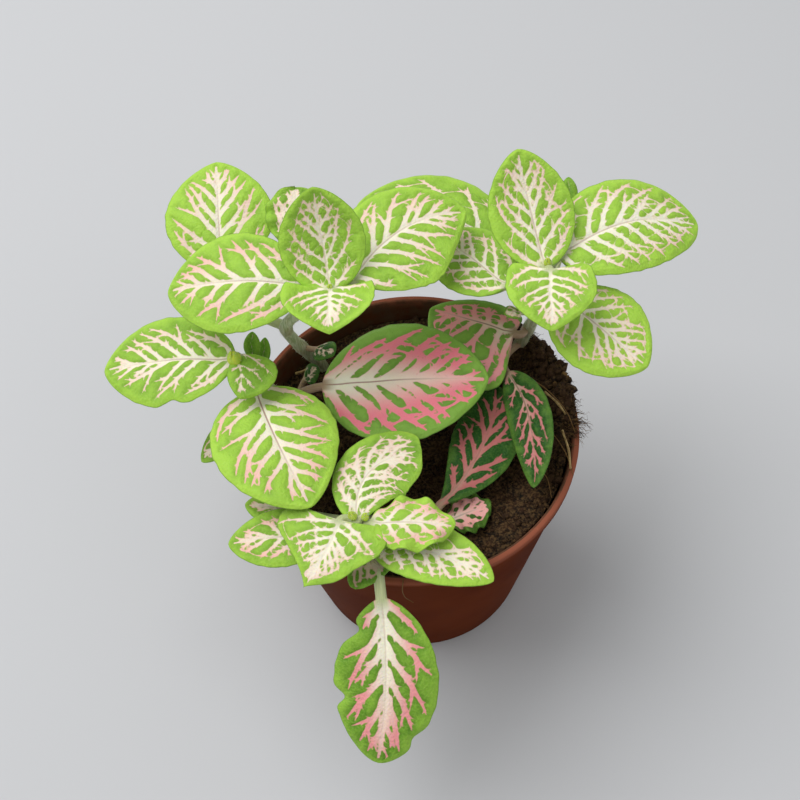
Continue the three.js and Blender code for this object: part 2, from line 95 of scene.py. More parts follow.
SHOOTS = {
    "back_stem": {
        "radius": 1.1,
        "path": [(-15, 18.3, 38), (-15.8, 18, 46), (-17.8, 15.8, 53.5), (-20.2, 12.6, 65.5),
                 (-16.8, 10.4, 72.5), (-12.6, 8.9, 76.8), (-11.2, 8.2, 79.6)],
        "leaves": {
            "back_leaf_left": dict(
                root=(-13.4, 9.4, 79), base=(-14.6, 9.9, 79.5), tip=(-38.5, 14.2, 75.5), width=17.5,
                roll=18, arch=0.08, sway=0.03, fan=(74, 36), net=0.15, tone=0.8, wide=0.5, bold=1.1,
                pink=0.85, rim=1.3),
            "back_leaf_upright": dict(
                root=(-11.2, 10, 80.4), base=(-11.0, 7.9, 79.9), tip=(-12.3, 18.2, 93), width=13.8,
                arch=-0.08, cup=0.12, net=0.8, tone=0.8, bold=0.45, fan=(54, 30), line=0.3, rim=1.1),
            "back_leaf_front": dict(
                root=(-11.2, 6.7, 80.2), base=(-11, 7.4, 80.9), tip=(-11.5, -0.8, 80.5), width=14.8,
                arch=0.12, cup=0.24, blunt=0.3, wide=0.3, point=0.8, fan=(88, 28), net=0.34, tone=0.8,
                rim=1.1, pairs=7, bold=0.54, clasp=0.42, line=0.0, skew=0.04),
            "back_leaf_right": dict(
                root=(-9.7, 9.2, 79), base=(-7.6, 10.4, 79.4), tip=(12, 22.5, 80.5), width=19,
                roll=-12, arch=0.04, sway=-0.12, skew=0.12, blunt=0.36, fan=(68, 32), net=0.3, tone=0.8,
                bold=1.05, pink=0.6, rim=1.1, pairs=7),
            "back_leaf_rear": dict(
                root=(-21.1, 13.5, 66.5), base=(-30.6, 22, 71), tip=(-30.7, 41.6, 78), width=19,
                fan=(66, 34), net=0.1, tone=0.95, pink=0.6, rim=1.2, bold=1.15),
            "back_leaf_young": dict(
                root=(-14.3, 10.9, 75.2), base=(-17.1, 22.0, 74.6), tip=(-16.7, 33.3, 78.5), width=10.8,
                arch=0, wave=0.6, waves=4, fan=(40, 18), net=0.7, flush=1.0, tone=0.5, rim=0.8,
                wide=0.6, point=0.34),
            "shade_leaf_back": dict(
                root=(-17.3, 14.3, 57), base=(-15.6, 13.2, 58), tip=(-12.5, 10.5, 59.5), width=5,
                **SHADE_LEAF),
        },
    },
    "left_stem": {
        "radius": 1.1,
        "path": [(-18.6, 6.9, 38), (-20, 6.4, 46), (-22.6, 5.8, 54), (-28.2, 5.3, 66)],
        "leaves": {
            "left_leaf_outer": dict(
                root=(-29.6, 5.7, 66), base=(-28.6, 5.7, 66.9), tip=(-51.6, 7.2, 64.5), width=17,
                roll=10, arch=0.04, sway=0.03, notches=((-1, 0.45, 0.07, 0.14),), pairs=7, fan=(58, 34),
                net=0.34, tone=0.7, wide=0.5, line=0.6, rim=1.2, bold=0.92),
            "left_leaf_small": dict(
                root=(-26.7, 5, 66.4), base=(-28.2, 6.0, 67.4), tip=(-27.8, -1.4, 65.6), width=8.4,
                arch=0.1, sway=-0.06, skew=-0.45, pairs=4, rim=1.0, bold=0.36, line=0.1, tone=0.55,
                net=0.3),
            "left_leaf_broad": dict(
                root=(-25, 4.1, 58.5), base=(-26, 2.9, 61.2), tip=(-16.8, -20.6, 62), width=21,
                roll=4, arch=0.08, sway=0.03, blunt=0.42, wide=0.44, fan=(74, 40), net=0.2, tone=0.85,
                flush=0.9, line=0.9, pink=0.85, pairs=7, bold=1.2, rim=1.25, curve=(0.34, 0.2)),
            "left_leaf_under": dict(
                root=(-24.1, 5.9, 54), base=(-29, 2.5, 54.5), tip=(-37.5, -3.6, 50), width=6,
                arch=0.04, tone=0.4, pairs=4, rim=1.0),
            "left_leaflet_1": dict(
                root=(-24.1, 7, 58), base=(-24.8, 9.2, 60.5), tip=(-24.1, 12.4, 63.8), width=2.4,
                tone=0.1, **LEAFLET),
            "left_leaflet_2": dict(
                root=(-26.2, 6.8, 62), base=(-26.4, 8.6, 63), tip=(-26, 12.2, 66), width=3,
                tone=0.15, **LEAFLET),
            "pink_leaf_broad": dict(
                root=(-20.9, 6.2, 53.5), base=(-14.7, 5, 58), tip=(13.9, 1.5, 61.5), width=23,
                roll=-8, arch=0.045, dark=True, pairs=7, fan=(62, 36), bold=2.05, flush=0.9, tone=1.0,
                pink=1.0, hot=0.8, rim=1.0, line=0.9, blush=(0.08, 0.7)),
            "shade_leaf_left": dict(
                root=(-20.4, 7.6, 50), base=(-18.4, 10.4, 53), tip=(-15.6, 11, 55), width=4.5,
                **SHADE_LEAF),
        },
    },
    "right_stem": {
        "radius": 1.1,
        "path": [(18, 15, 38), (20.5, 16, 47), (22.4, 15.6, 54), (24, 12, 68), (23.7, 9.8, 79.5)],
        "leaves": {
            "right_leaf_upright": dict(
                root=(23.3, 11.6, 80.2), base=(23.4, 9.5, 79.5), tip=(20.3, 25, 91), width=14.2,
                arch=-0.04, cup=0.1, fan=(54, 30), net=0.6, tone=0.85, bold=0.74, rim=1.0, blunt=0.56,
                flush=0.6),
            "right_leaf_outer": dict(
                root=(25, 10.8, 77.5), base=(25.9, 12.5, 78.6), tip=(50.7, 19.2, 76), width=17.2,
                roll=-14, arch=0.11, sway=-0.08, pairs=8, fan=(80, 34), net=0.5, flush=0.9, tone=0.9,
                blunt=0.38, rim=0.85, bold=0.9, pink=0.6, blush=(0.35, 1.15), point=0.46),
            "right_leaf_front": dict(
                root=(23.7, 8.2, 80), base=(23.7, 7.6, 81), tip=(22.6, -2.6, 79), width=14.2,
                arch=0.1, cup=0.12, blunt=0.32, wide=0.32, point=0.75, fan=(92, 28), net=0.34, tone=0.8,
                bold=0.54, rim=1.1, clasp=0.48, line=0.0, pairs=7),
            "right_leaf_lower": dict(
                root=(25.2, 9.6, 73.6), base=(26.3, 7.9, 74.3), tip=(38.2, -5.2, 71), width=16.2,
                arch=0.05, sway=0.02, blunt=0.4, pairs=7, fan=(74, 34), net=0.45, tone=1.0, rim=1.1,
                bold=0.72, roll=-5),
            "right_leaf_inner": dict(
                root=(22.8, 10.7, 72.5), base=(17.8, 10.6, 74.5), tip=(7, 24.4, 73.4), width=13.5,
                roll=8, arch=0.04, net=0.6, tone=0.7, rim=1.1, fan=(62, 34), bold=0.67),
            "right_leaf_rear": dict(
                root=(23.2, 13.2, 68), base=(19.2, 23.6, 69.6), tip=(-6.6, 34.7, 71), width=21,
                arch=0.05, sway=0.06, tone=0.7, rim=1.2),
            "right_leaflet_rear": dict(
                root=(25.2, 12.9, 69), base=(30.6, 28, 73), tip=(31.2, 33, 76), width=3.2,
                tone=0.2, **LEAFLET),
            "right_leaflet_curled": dict(
                root=(22.8, 11.3, 66), base=(20, 10.2, 68), tip=(17.2, 9.2, 69), width=3.2,
                arch=0.1, petiole=0.5, pairs=3, rim=0.5, bold=0.5, tone=0.3),
            "pink_leaf_rear": dict(
                root=(20.7, 14.6, 57.2), base=(19.8, 12.6, 58.7), tip=(5.3, 20.3, 58), width=17.6,
                roll=8, arch=0.04, blunt=0.3, wide=0.3, skew=-0.45, dark=True, fan=(106, 42), tone=0.95,
                pink=0.75, hot=1.0, line=0.9, rim=1.2, blush=(-0.1, 0.5), clasp=0.2, bold=1.2,
                curve=(0.12, 0.2)),
            "pink_leaf_narrow": dict(
                root=(20.3, 13.4, 51.5), base=(18, 6, 56), tip=(19.5, -16.4, 54.5), width=8,
                roll=-28, arch=0.07, sway=-0.11, dark=True, fan=(44, 26), net=0.35, bold=0.6, tone=0.1,
                pink=0.9, hot=0.62, rim=0.9, line=0.8, blush=(-0.1, 0.5), petiole=0.6),
        },
    },
    "front_stem": {
        "radius": 1.1,
        "path": [(-6, -15, 38), (-6.6, -16.5, 46), (-7.4, -19.2, 52), (-9.5, -22.4, 59.4)],
        "leaves": {
            "front_leaf_upright": dict(
                root=(-9.7, -21.2, 60.4), base=(-9.9, -23.2, 60.2), tip=(1.4, -11.0, 60.6), width=13.0,
                arch=0, sway=-0.26, cup=0.05, blunt=0.52, point=0.26, pairs=7, fan=(68, 34), net=1.0,
                flush=0.8, tone=0.55, pink=0.4, bold=0.56, rim=0.8, wide=0.56, line=0.4, skew=0.14),
            "front_leaf_left": dict(
                root=(-11, -23, 60.2), base=(-12.6, -22.9, 60.6), tip=(-18.7, -32.5, 58.5), width=18.4,
                arch=0.08, blunt=0.28, wide=0.24, pairs=8, fan=(74, 24), net=0.55, flush=0.6, tone=0.75,
                rim=1.0, clasp=0.18, line=0.1, bold=0.56, sway=-0.06, point=1.15, skew=0.06,
                notches=((-1, 0.5, 0.24, 0.26),)),
            "front_leaf_crumpled": dict(
                root=(-8, -23, 58.8), base=(-7.6, -23.2, 59.9), tip=(5.5, -25.2, 60.5), width=9.5,
                wave=0.9, pairs=5, fan=(66, 34), net=0.6, pink=0.9, tone=0.9, rim=0.6, line=0.4,
                bold=0.8),
            "front_leaf_right": dict(
                root=(-7.8, -22.3, 56), base=(-7.2, -25.2, 56.4), tip=(10.7, -33.6, 57.5), width=10,
                roll=-4, arch=0.04, sway=-0.06, pairs=7, fan=(70, 34), net=0.6, flush=0.6, tone=0.8,
                pink=0.36, rim=0.9, line=0.2, bold=0.78, blunt=0.34, wide=0.42),
            "front_leaf_outer": dict(
                root=(-10, -22, 57), base=(-14.4, -23.4, 57.8), tip=(-30.9, -23.4, 57), width=10,
                roll=5, arch=0.05, fan=(60, 32), rim=1.0, pink=0.9, bold=0.7),
            "front_leaf_behind": dict(
                root=(-9.6, -20.6, 55), base=(-19.3, -18.3, 56), tip=(-28.5, -15.9, 56), width=6,
                arch=0.05, pairs=5, fan=(50, 26), net=0.2, pink=0.9, rim=1.0),
            "front_leaf_under": dict(
                root=(-8.5, -21.8, 54.6), base=(-10.2, -25.2, 55), tip=(-5.4, -29.0, 54.2), width=11.5,
                arch=0.03, tone=0.1, rim=1.0, bold=0.8),
            "hanging_leaf": dict(
                root=(-7.2, -20.4, 50.5), base=(-7, -33, 53), tip=(-9.6, -54.7, 38), width=16.8,
                arch=0.05, sway=-0.04, petiole=0.9, blunt=0.58, point=0.55, wide=0.5,
                notches=((1, 0.18, 0.05, 0.3), (1, 0.6, 0.05, 0.2), (-1, 0.82, 0.05, 0.18)),
                fan=(50, 28), net=0.25, flush=1.8, tone=0.3, pink=1.0, hot=0.4, line=0.3, rim=1.05,
                blush=(0.14, 0.74), bold=1.34),
        },
    },
    "short_stem": {
        "radius": 0.9,
        "path": [(1.2, -19.6, 40), (1.5, -19.5, 44), (1.8, -19.3, 48.6)],
        "leaves": {
            "pink_leaf_low": dict(
                root=(2.3, -18.3, 49.3), base=(3.2, -17.2, 51.5), tip=(15.8, 4.6, 54.5), width=11.5,
                roll=-6, arch=0.03, sway=0.1, dark=True, fan=(46, 28), net=0.35, tone=0.02, pink=1.0,
                hot=0.55, rim=0.8, line=0.3, blunt=0.85, wide=0.58, blush=(-0.35, 0.5)),
            "pink_leaf_crumpled": dict(
                root=(3.1, -19.6, 47.4), base=(5.1, -18.2, 48.4), tip=(12.6, -16.3, 49.6), width=7.5,
                arch=0.05, wave=0.8, waves=4, petiole=0.6, dark=True, pairs=4, fan=(60, 36), bold=1.2,
                tone=0.3, pink=0.9, hot=0.25, rim=1.0, blush=(-0.1, 0.5)),
        },
    },
}

BUDS = {
    "back_bud": {"at": (-11.2, 8, 80), "to": (-11, 7.7, 82.2), "radius": 0.5},
    "left_bud": {"at": (-28.6, 5.4, 66.6), "to": (-28.6, 5.2, 70.0), "radius": 1.1},
    "right_bud": {"at": (23.7, 9.8, 80.1), "to": (23.6, 9.6, 82.0), "radius": 0.5},
    "front_bud_1": {"at": (-10.2, -22.4, 60.7), "to": (-10.8, -22.4, 62.7), "radius": 0.6},
    "front_bud_2": {"at": (-8.6, -22.6, 60.2), "to": (-8.3, -22.4, 62.0), "radius": 0.5},
}

STRAWS = {
    "straw_left": {"radius": 0.4, "path": [(-21, 16.2, 46.6), (-19.4, 16.6, 46.8), (-17.8, 17.2, 46.8)]},
    "straw_right": {"radius": 0.3, "path": [(24.5, 3.6, 52.6), (26.2, 1.2, 52.8), (27.4, -1.4, 52.8)]},
    "straw_front": {"radius": 0.3, "path": [(26.4, -4.4, 52.3), (27, -8, 51.5), (26.8, -11.6, 51.3)]},
}

# ---- pot, peat, camera and light: the pot's and the peat's sizes are the solids' ----

POT_LOW, POT_HIGH = (np.array(corner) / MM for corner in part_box("pot"))
RIM_RADIUS = POT_HIGH[0]
POT_HEIGHT = POT_HIGH[2]
BASE_RADIUS = 0.75 * RIM_RADIUS
WALL = 0.9
FLOOR = 1.3
LIP_HEIGHT = 2.6
LIP_STEP = 0.8
LIP_BOTTOM = POT_HEIGHT - LIP_HEIGHT
DRAIN_HOLES = 6
DRAIN_RADIUS = 2
DRAIN_CIRCLE = 14
DRILL_REACH = (-1.0, 3.0)
DRILL_SIDES = 32

GAP = 0.3
SOIL_CENTRE = 44.6
SOIL_LOW_EDGE = 45
SOIL_SLOPE = 3.4
SOIL_SLOPE_AZIMUTH = -20
SOIL_HEAP_AZIMUTH = 25
SOIL_HEAP_START = 0.585
SOIL_HEAP_CLEAR = 0.6
SOIL_OVERHANG = 2.2
SOIL_CREST = 1.1
SOIL_CURVE = 1.6
SOIL_SEED = 3

# clods on the heap, and fringes of fibres: short ones along the heap's edge and a tuft of long ones. Each
# has its azimuth and spread, the share of the peat's radius where it starts, how far its fibres rise and
# stray, and the least and most of their lengths and radii; shade is the two shape numbers of its spread
HEAP_CLODS = 190
LARGE_CRUMB = 0.4
CRUMB_SHADE = (1.6, 4.0)
FRINGES = (
    dict(count=420, azimuth=SOIL_HEAP_AZIMUTH, spread=22, start=0.93, rise=0, stray=0.55,
         length=(0.5, 1.9), radius=(0.04, 0.09), sag=0.35, shade=(1.5, 2.5)),
    dict(count=110, azimuth=-6, spread=2.6, start=0.94, rise=0.15, stray=0.5,
         length=(1.4, 4.2), radius=(0.06, 0.12), sag=0.45, shade=(3.0, 1.5)),
)
# threads: the first hangs over the rim in front, the others lie on the peat
THREADS = (
    [(-3.2, -26.6, 46.8), (-3.3, -28.6, 49.8), (-3.4, -29.9, 51.0), (-3.6, -30.6, 49.2), (-3.3, -30.6, 46.6),
     (-2.8, -30.2, 44.4), (-2.0, -30.4, 43.4)],
    [(18.6, 9.6, 50.4), (21.4, 7.6, 52.2), (24.6, 4.0, 53.2), (27.4, -1.0, 53.4), (28.6, -5.0, 52.2)],
    [(22.4, -2.0, 50.4), (24.6, -4.4, 51.6), (26.4, -8.6, 51.6), (27.2, -12.6, 50.6)],
    [(20.4, -9.0, 48.8), (22.6, -12.0, 50.0), (23.0, -16.0, 49.6)],
)
THREAD_RADII = (0.13, 0.06)
THREAD_RINGS = 40

# the photo's viewpoint, fitted to the rim, the base and the leaves' outlines
CAMERA_PLACE = (-1.5, -94, 203)
CAMERA_ELEVATION = 56.8
CAMERA_ROLL = -4.6
CAMERA_LENS = 45
SENSOR = 36
CAMERA_CLIP = (0.01, 20)  # metres
# the lamps: place and size in metres, and power as a share of the key light's
LAMPS = {"key": ((-0.34, 0.18, 0.8), 0.7, 1), "fill": ((0.5, -0.5, 0.6), 0.8, 0.12)}
LAMP_TARGET = (0, 0, 0.05)
SKY_COLOUR = (0.98, 0.99, 1.0, 1)
FLOOR_REACH = 3.0


# ---- number helpers ----

SPAN_SAMPLES = 40  # samples of a curve between two of its given points


def unit(vectors):
    """Vectors at length 1."""
    return vectors / np.maximum(np.linalg.norm(vectors, axis=-1, keepdims=True), 1e-12)


def lerp(a, b, share):
    """The point between a and b at a share of the way."""
    return a + (b - a) * share


def smoothstep(low, high, x):
    """0 up to low, 1 from high, and a smooth S between."""
    share = np.clip((x - low) / (high - low), 0, 1)
    return share * share * (3 - 2 * share)


def srgb(*levels):
    """Screen colour levels of 0 to 255 as linear red, green, blue, alpha."""
    shares = [level / 255 for level in levels]
    return (*(s / 12.92 if s < 0.04045 else ((s + 0.055) / 1.055) ** 2.4 for s in shares), 1.0)


def lattice_noise(points, seed):
    """Smooth noise from -1 to 1: a random value at each whole-number point, blended in between."""
    points = np.asarray(points, float)
    cell = np.floor(points).astype(np.int64)
    part = points - cell
    part = part * part * (3 - 2 * part)
    total = np.zeros(points.shape[:-1])
    for corner in product((0, 1), repeat=points.shape[-1]):
        at = cell + corner
        mixed = np.full(at.shape[:-1], seed * 2654435761 % 2**31, np.int64)
        for axis, prime in zip(range(at.shape[-1]), (73856093, 19349663, 83492791)):
            mixed = mixed ^ (at[..., axis] * prime)
        mixed = ((mixed ^ (mixed >> 13)) * 1274126177) & 0x7FFFFFFF
        mixed = mixed ^ (mixed >> 15)
        weight = np.where(corner, part, 1 - part).prod(-1)
        total += ((mixed & 0xFFFF) / 32767.5 - 1) * weight
    return total


def layered_noise(points, seed, layers, gain):
    """Layers of lattice noise, each half as large and, times gain, as strong as the one before."""
    return sum(gain ** i * lattice_noise(points * 2 ** i, seed + i) for i in range(layers))


def smooth_path(path, count):
    """Points on a uniform Catmull-Rom curve through the path's points, evenly spaced along it."""
    p = np.asarray(path, float)
    p = np.vstack([2 * p[0] - p[1], p, 2 * p[-1] - p[-2]])
    spans = len(p) - 3
    t = np.linspace(0, spans, SPAN_SAMPLES * spans + 1)
    k = np.minimum(t.astype(int), spans - 1)
    f = (t - k)[:, None]
    a, b, c, d = p[k], p[k + 1], p[k + 2], p[k + 3]
    fine = 0.5 * (2 * b + (c - a) * f + (2 * a - 5 * b + 4 * c - d) * f**2
                  + (3 * b - a - 3 * c + d) * f**3)
    run = np.concatenate([[0], np.cumsum(np.linalg.norm(np.diff(fine, axis=0), axis=1))])
    even = np.linspace(0, run[-1], count)
    return np.stack([np.interp(even, run, fine[:, i]) for i in range(3)], -1)


def bezier(start, turn, end, count):
    """Points of a quadratic Bezier curve."""
    t = np.linspace(0, 1, count)[:, None]
    return (1 - t) ** 2 * start + 2 * t * (1 - t) * turn + t * t * end


def crossways(ways, sides):
    """Two directions across each heading, and the unit circle cos a * side + sin a * other over them."""
    helper = np.where(np.abs(ways[:, 2:]) < 0.9, [[0, 0, 1]], [[1, 0, 0]])
    side = unit(np.cross(ways, helper))
    other = np.cross(ways, side)
    angle = np.arange(sides) * 2 * np.pi / sides
    circle = np.cos(angle)[None, :, None] * side[:, None] + np.sin(angle)[None, :, None] * other[:, None]
    return side, other, circle


# ---- mesh helpers ----

def ring_faces(rings, around):
    """Quads between neighbouring closed rings of points, and a fan of triangles over each end.
    The two fans' middle points follow the rings' own points."""
    i, j = np.meshgrid(np.arange(rings - 1), np.arange(around), indexing="ij")
    a = i * around + j
    b = i * around + (j + 1) % around
    quads = np.stack([a, b, b + around, a + around], -1).reshape(-1, 4)
    j = np.arange(around)
    k = (j + 1) % around
    first, last = rings * around, rings * around + 1
    low = np.stack([np.full(around, first), k, j], -1)
    top = (rings - 1) * around
    high = np.stack([np.full(around, last), top + j, top + k], -1)
    return quads, np.vstack([low, high])


def with_middles(grid):
    """The values of a grid of rings as one row, with the means of the first and the last ring added."""
    row = grid.reshape((-1,) + grid.shape[2:])
    return np.concatenate([row, grid[:1].mean(1), grid[-1:].mean(1)])


def over_and_under(over, under):
    """Rings that run over the top from left to right and back underneath, from two grids of columns."""
    return np.concatenate([over, under[:, -2:0:-1]], axis=1)


class Shape:
    """Points, faces and per-point values of one or more bodies, gathered into one mesh."""

    def __init__(self):
        self.points, self.quads, self.tris, self.values = [], [], [], []
        self.count = 0

    def add(self, points, quads, tris, **values):
        """Adds a body. Each value is one number, or an array with a number or short vector per point."""
        for faces, kept in ((quads, self.quads), (tris, self.tris)):
            kept.append(faces + self.count)
        self.points.append(points)
        self.values.append({
            name: np.full(len(points), value, float) if np.ndim(value) == 0 else value
            for name, value in values.items()
        })
        self.count += len(points)

    def add_rings(self, grid, **values):
        """Adds a closed body from its rings of points, an array of rings by points by 3. A value is one
        number, or an array that fits the rings and their points."""
        quads, tris = ring_faces(*grid.shape[:2])
        spread = {
            name: value if np.ndim(value) == 0
            else with_middles(np.broadcast_to(value, grid.shape[:2] + np.shape(value)[2:]))
            for name, value in values.items()
        }
        self.add(with_middles(grid), quads, tris, **spread)

    def add_copies(self, bodies, quads, tris, **values):
        """Adds bodies that share their faces, an array of bodies by points by 3. A value is one number, or
        an array with one for each body."""
        count, size = bodies.shape[:2]
        shift = (np.arange(count) * size)[:, None, None]
        spread = {name: np.repeat(value, size) if np.ndim(value) else value for name, value in values.items()}
        self.add(bodies.reshape(-1, 3), (quads + shift).reshape(-1, 4), (tris + shift).reshape(-1, 3),
                 **spread)

    def mesh(self, name):
        """The mesh of all the bodies, in metres, and the number of the point at each face's corners."""
        points = np.vstack(self.points) * MM
        quads, tris = np.vstack(self.quads), np.vstack(self.tris)
        corners = np.concatenate([quads.ravel(), tris.ravel()]).astype(np.int32)
        starts = np.concatenate([np.arange(len(quads)) * 4, len(quads) * 4 + np.arange(len(tris)) * 3])
        mesh = bpy.data.meshes.new(name)
        mesh.vertices.add(len(points))
        mesh.vertices.foreach_set("co", points.astype(np.float32).ravel())
        mesh.loops.add(len(corners))
        mesh.loops.foreach_set("vertex_index", corners)
        mesh.polygons.add(len(starts))
        mesh.polygons.foreach_set("loop_start", starts.astype(np.int32))
        mesh.update(calc_edges=True)
        return mesh, corners

    def build(self, name, material, slot_name, replaced):
        """Makes the mesh object, gives it its material and attributes, and ties it to the frame."""
        mesh, corners = self.mesh(name)
        mesh.polygons.foreach_set("use_smooth", np.ones(len(mesh.polygons), bool))
        for key in self.values[0]:
            column = np.concatenate([held[key] for held in self.values]).astype(np.float32)
            if column.ndim == 1:
                attribute = mesh.attributes.new(key, "FLOAT", "POINT")
                attribute.data.foreach_set("value", column)
            else:
                layer = mesh.uv_layers.new(name=key)
                layer.data.foreach_set("uv", column[corners].ravel())
        mesh.validate()
        mesh.materials.append(material)
        piece = bpy.data.objects.new(name, mesh)
        bpy.context.scene.collection.objects.link(piece)
        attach(piece, "root")
        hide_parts(*replaced)
        return piece


def tube(centres, radii, sides, side_hint, flat=1.0):
    """Rings of a tube: each point is centre + radius * (cos a * side + flat * sin a * up). Side is the
    hint less its part along the path, and up stands on both."""
    along = unit(np.gradient(centres, axis=0))
    hint = np.broadcast_to(np.asarray(side_hint, float), along.shape)
    side = unit(hint - (hint * along).sum(-1, keepdims=True) * along)
    up = np.cross(side, along)
    angle = np.linspace(0, 2 * np.pi, sides, endpoint=False)
    radii = np.broadcast_to(radii, len(centres))[:, None, None]
    return (centres[:, None] + radii * (np.cos(angle)[None, :, None] * side[:, None]
                                        + flat * np.sin(angle)[None, :, None] * up[:, None]))


# ---- leaves: shape ----

BLADE_START = 0.12  # share of the blade over which the petiole flattens out
TIP_TAPER = 6  # how fast the blade thins towards its tip, and the share of thickness left there
TIP_THICK = 0.35
LEFT_WAVE = 1.7  # radians by which the left margin's waves run ahead of the right one's
PETIOLE_BEND = 0.45  # share of its length over which a petiole comes into line with its blade
SEAT_DEPTH = 0.55  # share of the stem's radius at which a petiole starts
SEAT_STEPS = 121
THINNEST = 0.02


def half_width(leaf, u, sign):
    """Half the blade's width: width / 2 * sin(pi * u^early)^roundness, less the margin's dips."""
    early = math.log(0.5) / math.log(leaf["wide"])
    roundness = lerp(leaf["blunt"], leaf["point"], u)
    half = leaf["width"] / 2 * np.sin(np.pi * np.clip(u, 0, 1) ** early).clip(0) ** roundness
    half = half * (1 + sign * leaf["skew"])
    for notch_side, place, reach, depth in leaf["notches"]:
        if notch_side == sign:
            half = half * (1 - depth * np.exp(-(((u - place) / reach) ** 2)))
    return np.maximum(half, leaf["petiole"] * (1 - u) + THINNEST)


class Blade:
    """The frame of one leaf: its midrib, headings and petiole."""

    def __init__(self, leaf, stem):
        self.leaf = leaf
        self.base = np.array(leaf["base"], float)
        chord = np.array(leaf["tip"], float) - self.base
        self.length = np.linalg.norm(chord)
        self.ahead = chord / self.length
        flat = unit(np.cross(self.ahead, [0, 0, 1]))
        roll = math.radians(leaf["roll"])
        lifted = np.cross(flat, self.ahead)
        self.side = math.cos(roll) * flat + math.sin(roll) * lifted
        self.up = np.cross(self.side, self.ahead)
        # the petiole starts a little under the skin of its stem, at the stem's point nearest the root
        root = np.array(leaf["root"], float)
        path = smooth_path(stem["path"], SEAT_STEPS)
        nearest = path[np.argmin(np.linalg.norm(path - root, axis=1))]
        self.root = nearest + unit(root - nearest) * stem["radius"] * SEAT_DEPTH
        self.bend = self.base - self.heading(np.zeros(1))[0] * PETIOLE_BEND * np.linalg.norm(
            self.base - self.root)

    def midrib(self, u):
        """base + ahead * length * u + (up * arch + side * sway) * 4 u (1 - u) * length."""
        bow = (4 * u * (1 - u) * self.length)[:, None]
        return (self.base + self.ahead * (self.length * u)[:, None]
                + self.up * self.leaf["arch"] * bow + self.side * self.leaf["sway"] * bow)

    def heading(self, u):
        """Direction of the midrib, from its formula's slope."""
        slope = (4 * (1 - 2 * u) * self.length)[:, None]
        return unit(self.ahead * self.length + self.up * self.leaf["arch"] * slope
                    + self.side * self.leaf["sway"] * slope)

    def stalk(self, s):
        """The petiole: a quadratic Bezier curve from root by bend to base, and its direction."""
        s = s[:, None]
        place = (1 - s) ** 2 * self.root + 2 * s * (1 - s) * self.bend + s * s * self.base
        slope = 2 * (1 - s) * (self.bend - self.root) + 2 * s * (self.base - self.bend)
        return place, unit(slope)


# ---- leaves: veins ----

WEB = 0.11  # mm over which two veins that meet grow together
FAR = 1.6  # mm from a vein past which nothing changes
VEIN_STEP = 0.22  # mm between the points of a vein
WANDER = 1.7  # degrees by which a vein's heading may stray at each step
STEEPEST = 1.5  # slope of the margin past which it counts as no steeper
HUG_ANGLE = 34  # degrees from the midrib below which a vein no longer turns along the margin
SIDE_STARTS = (0.02, 0.74)  # shares of the midrib where the first and the last side veins leave it
CROSSED_FROM = 0.35  # how dense a net is before arcs and cross veins join its side veins


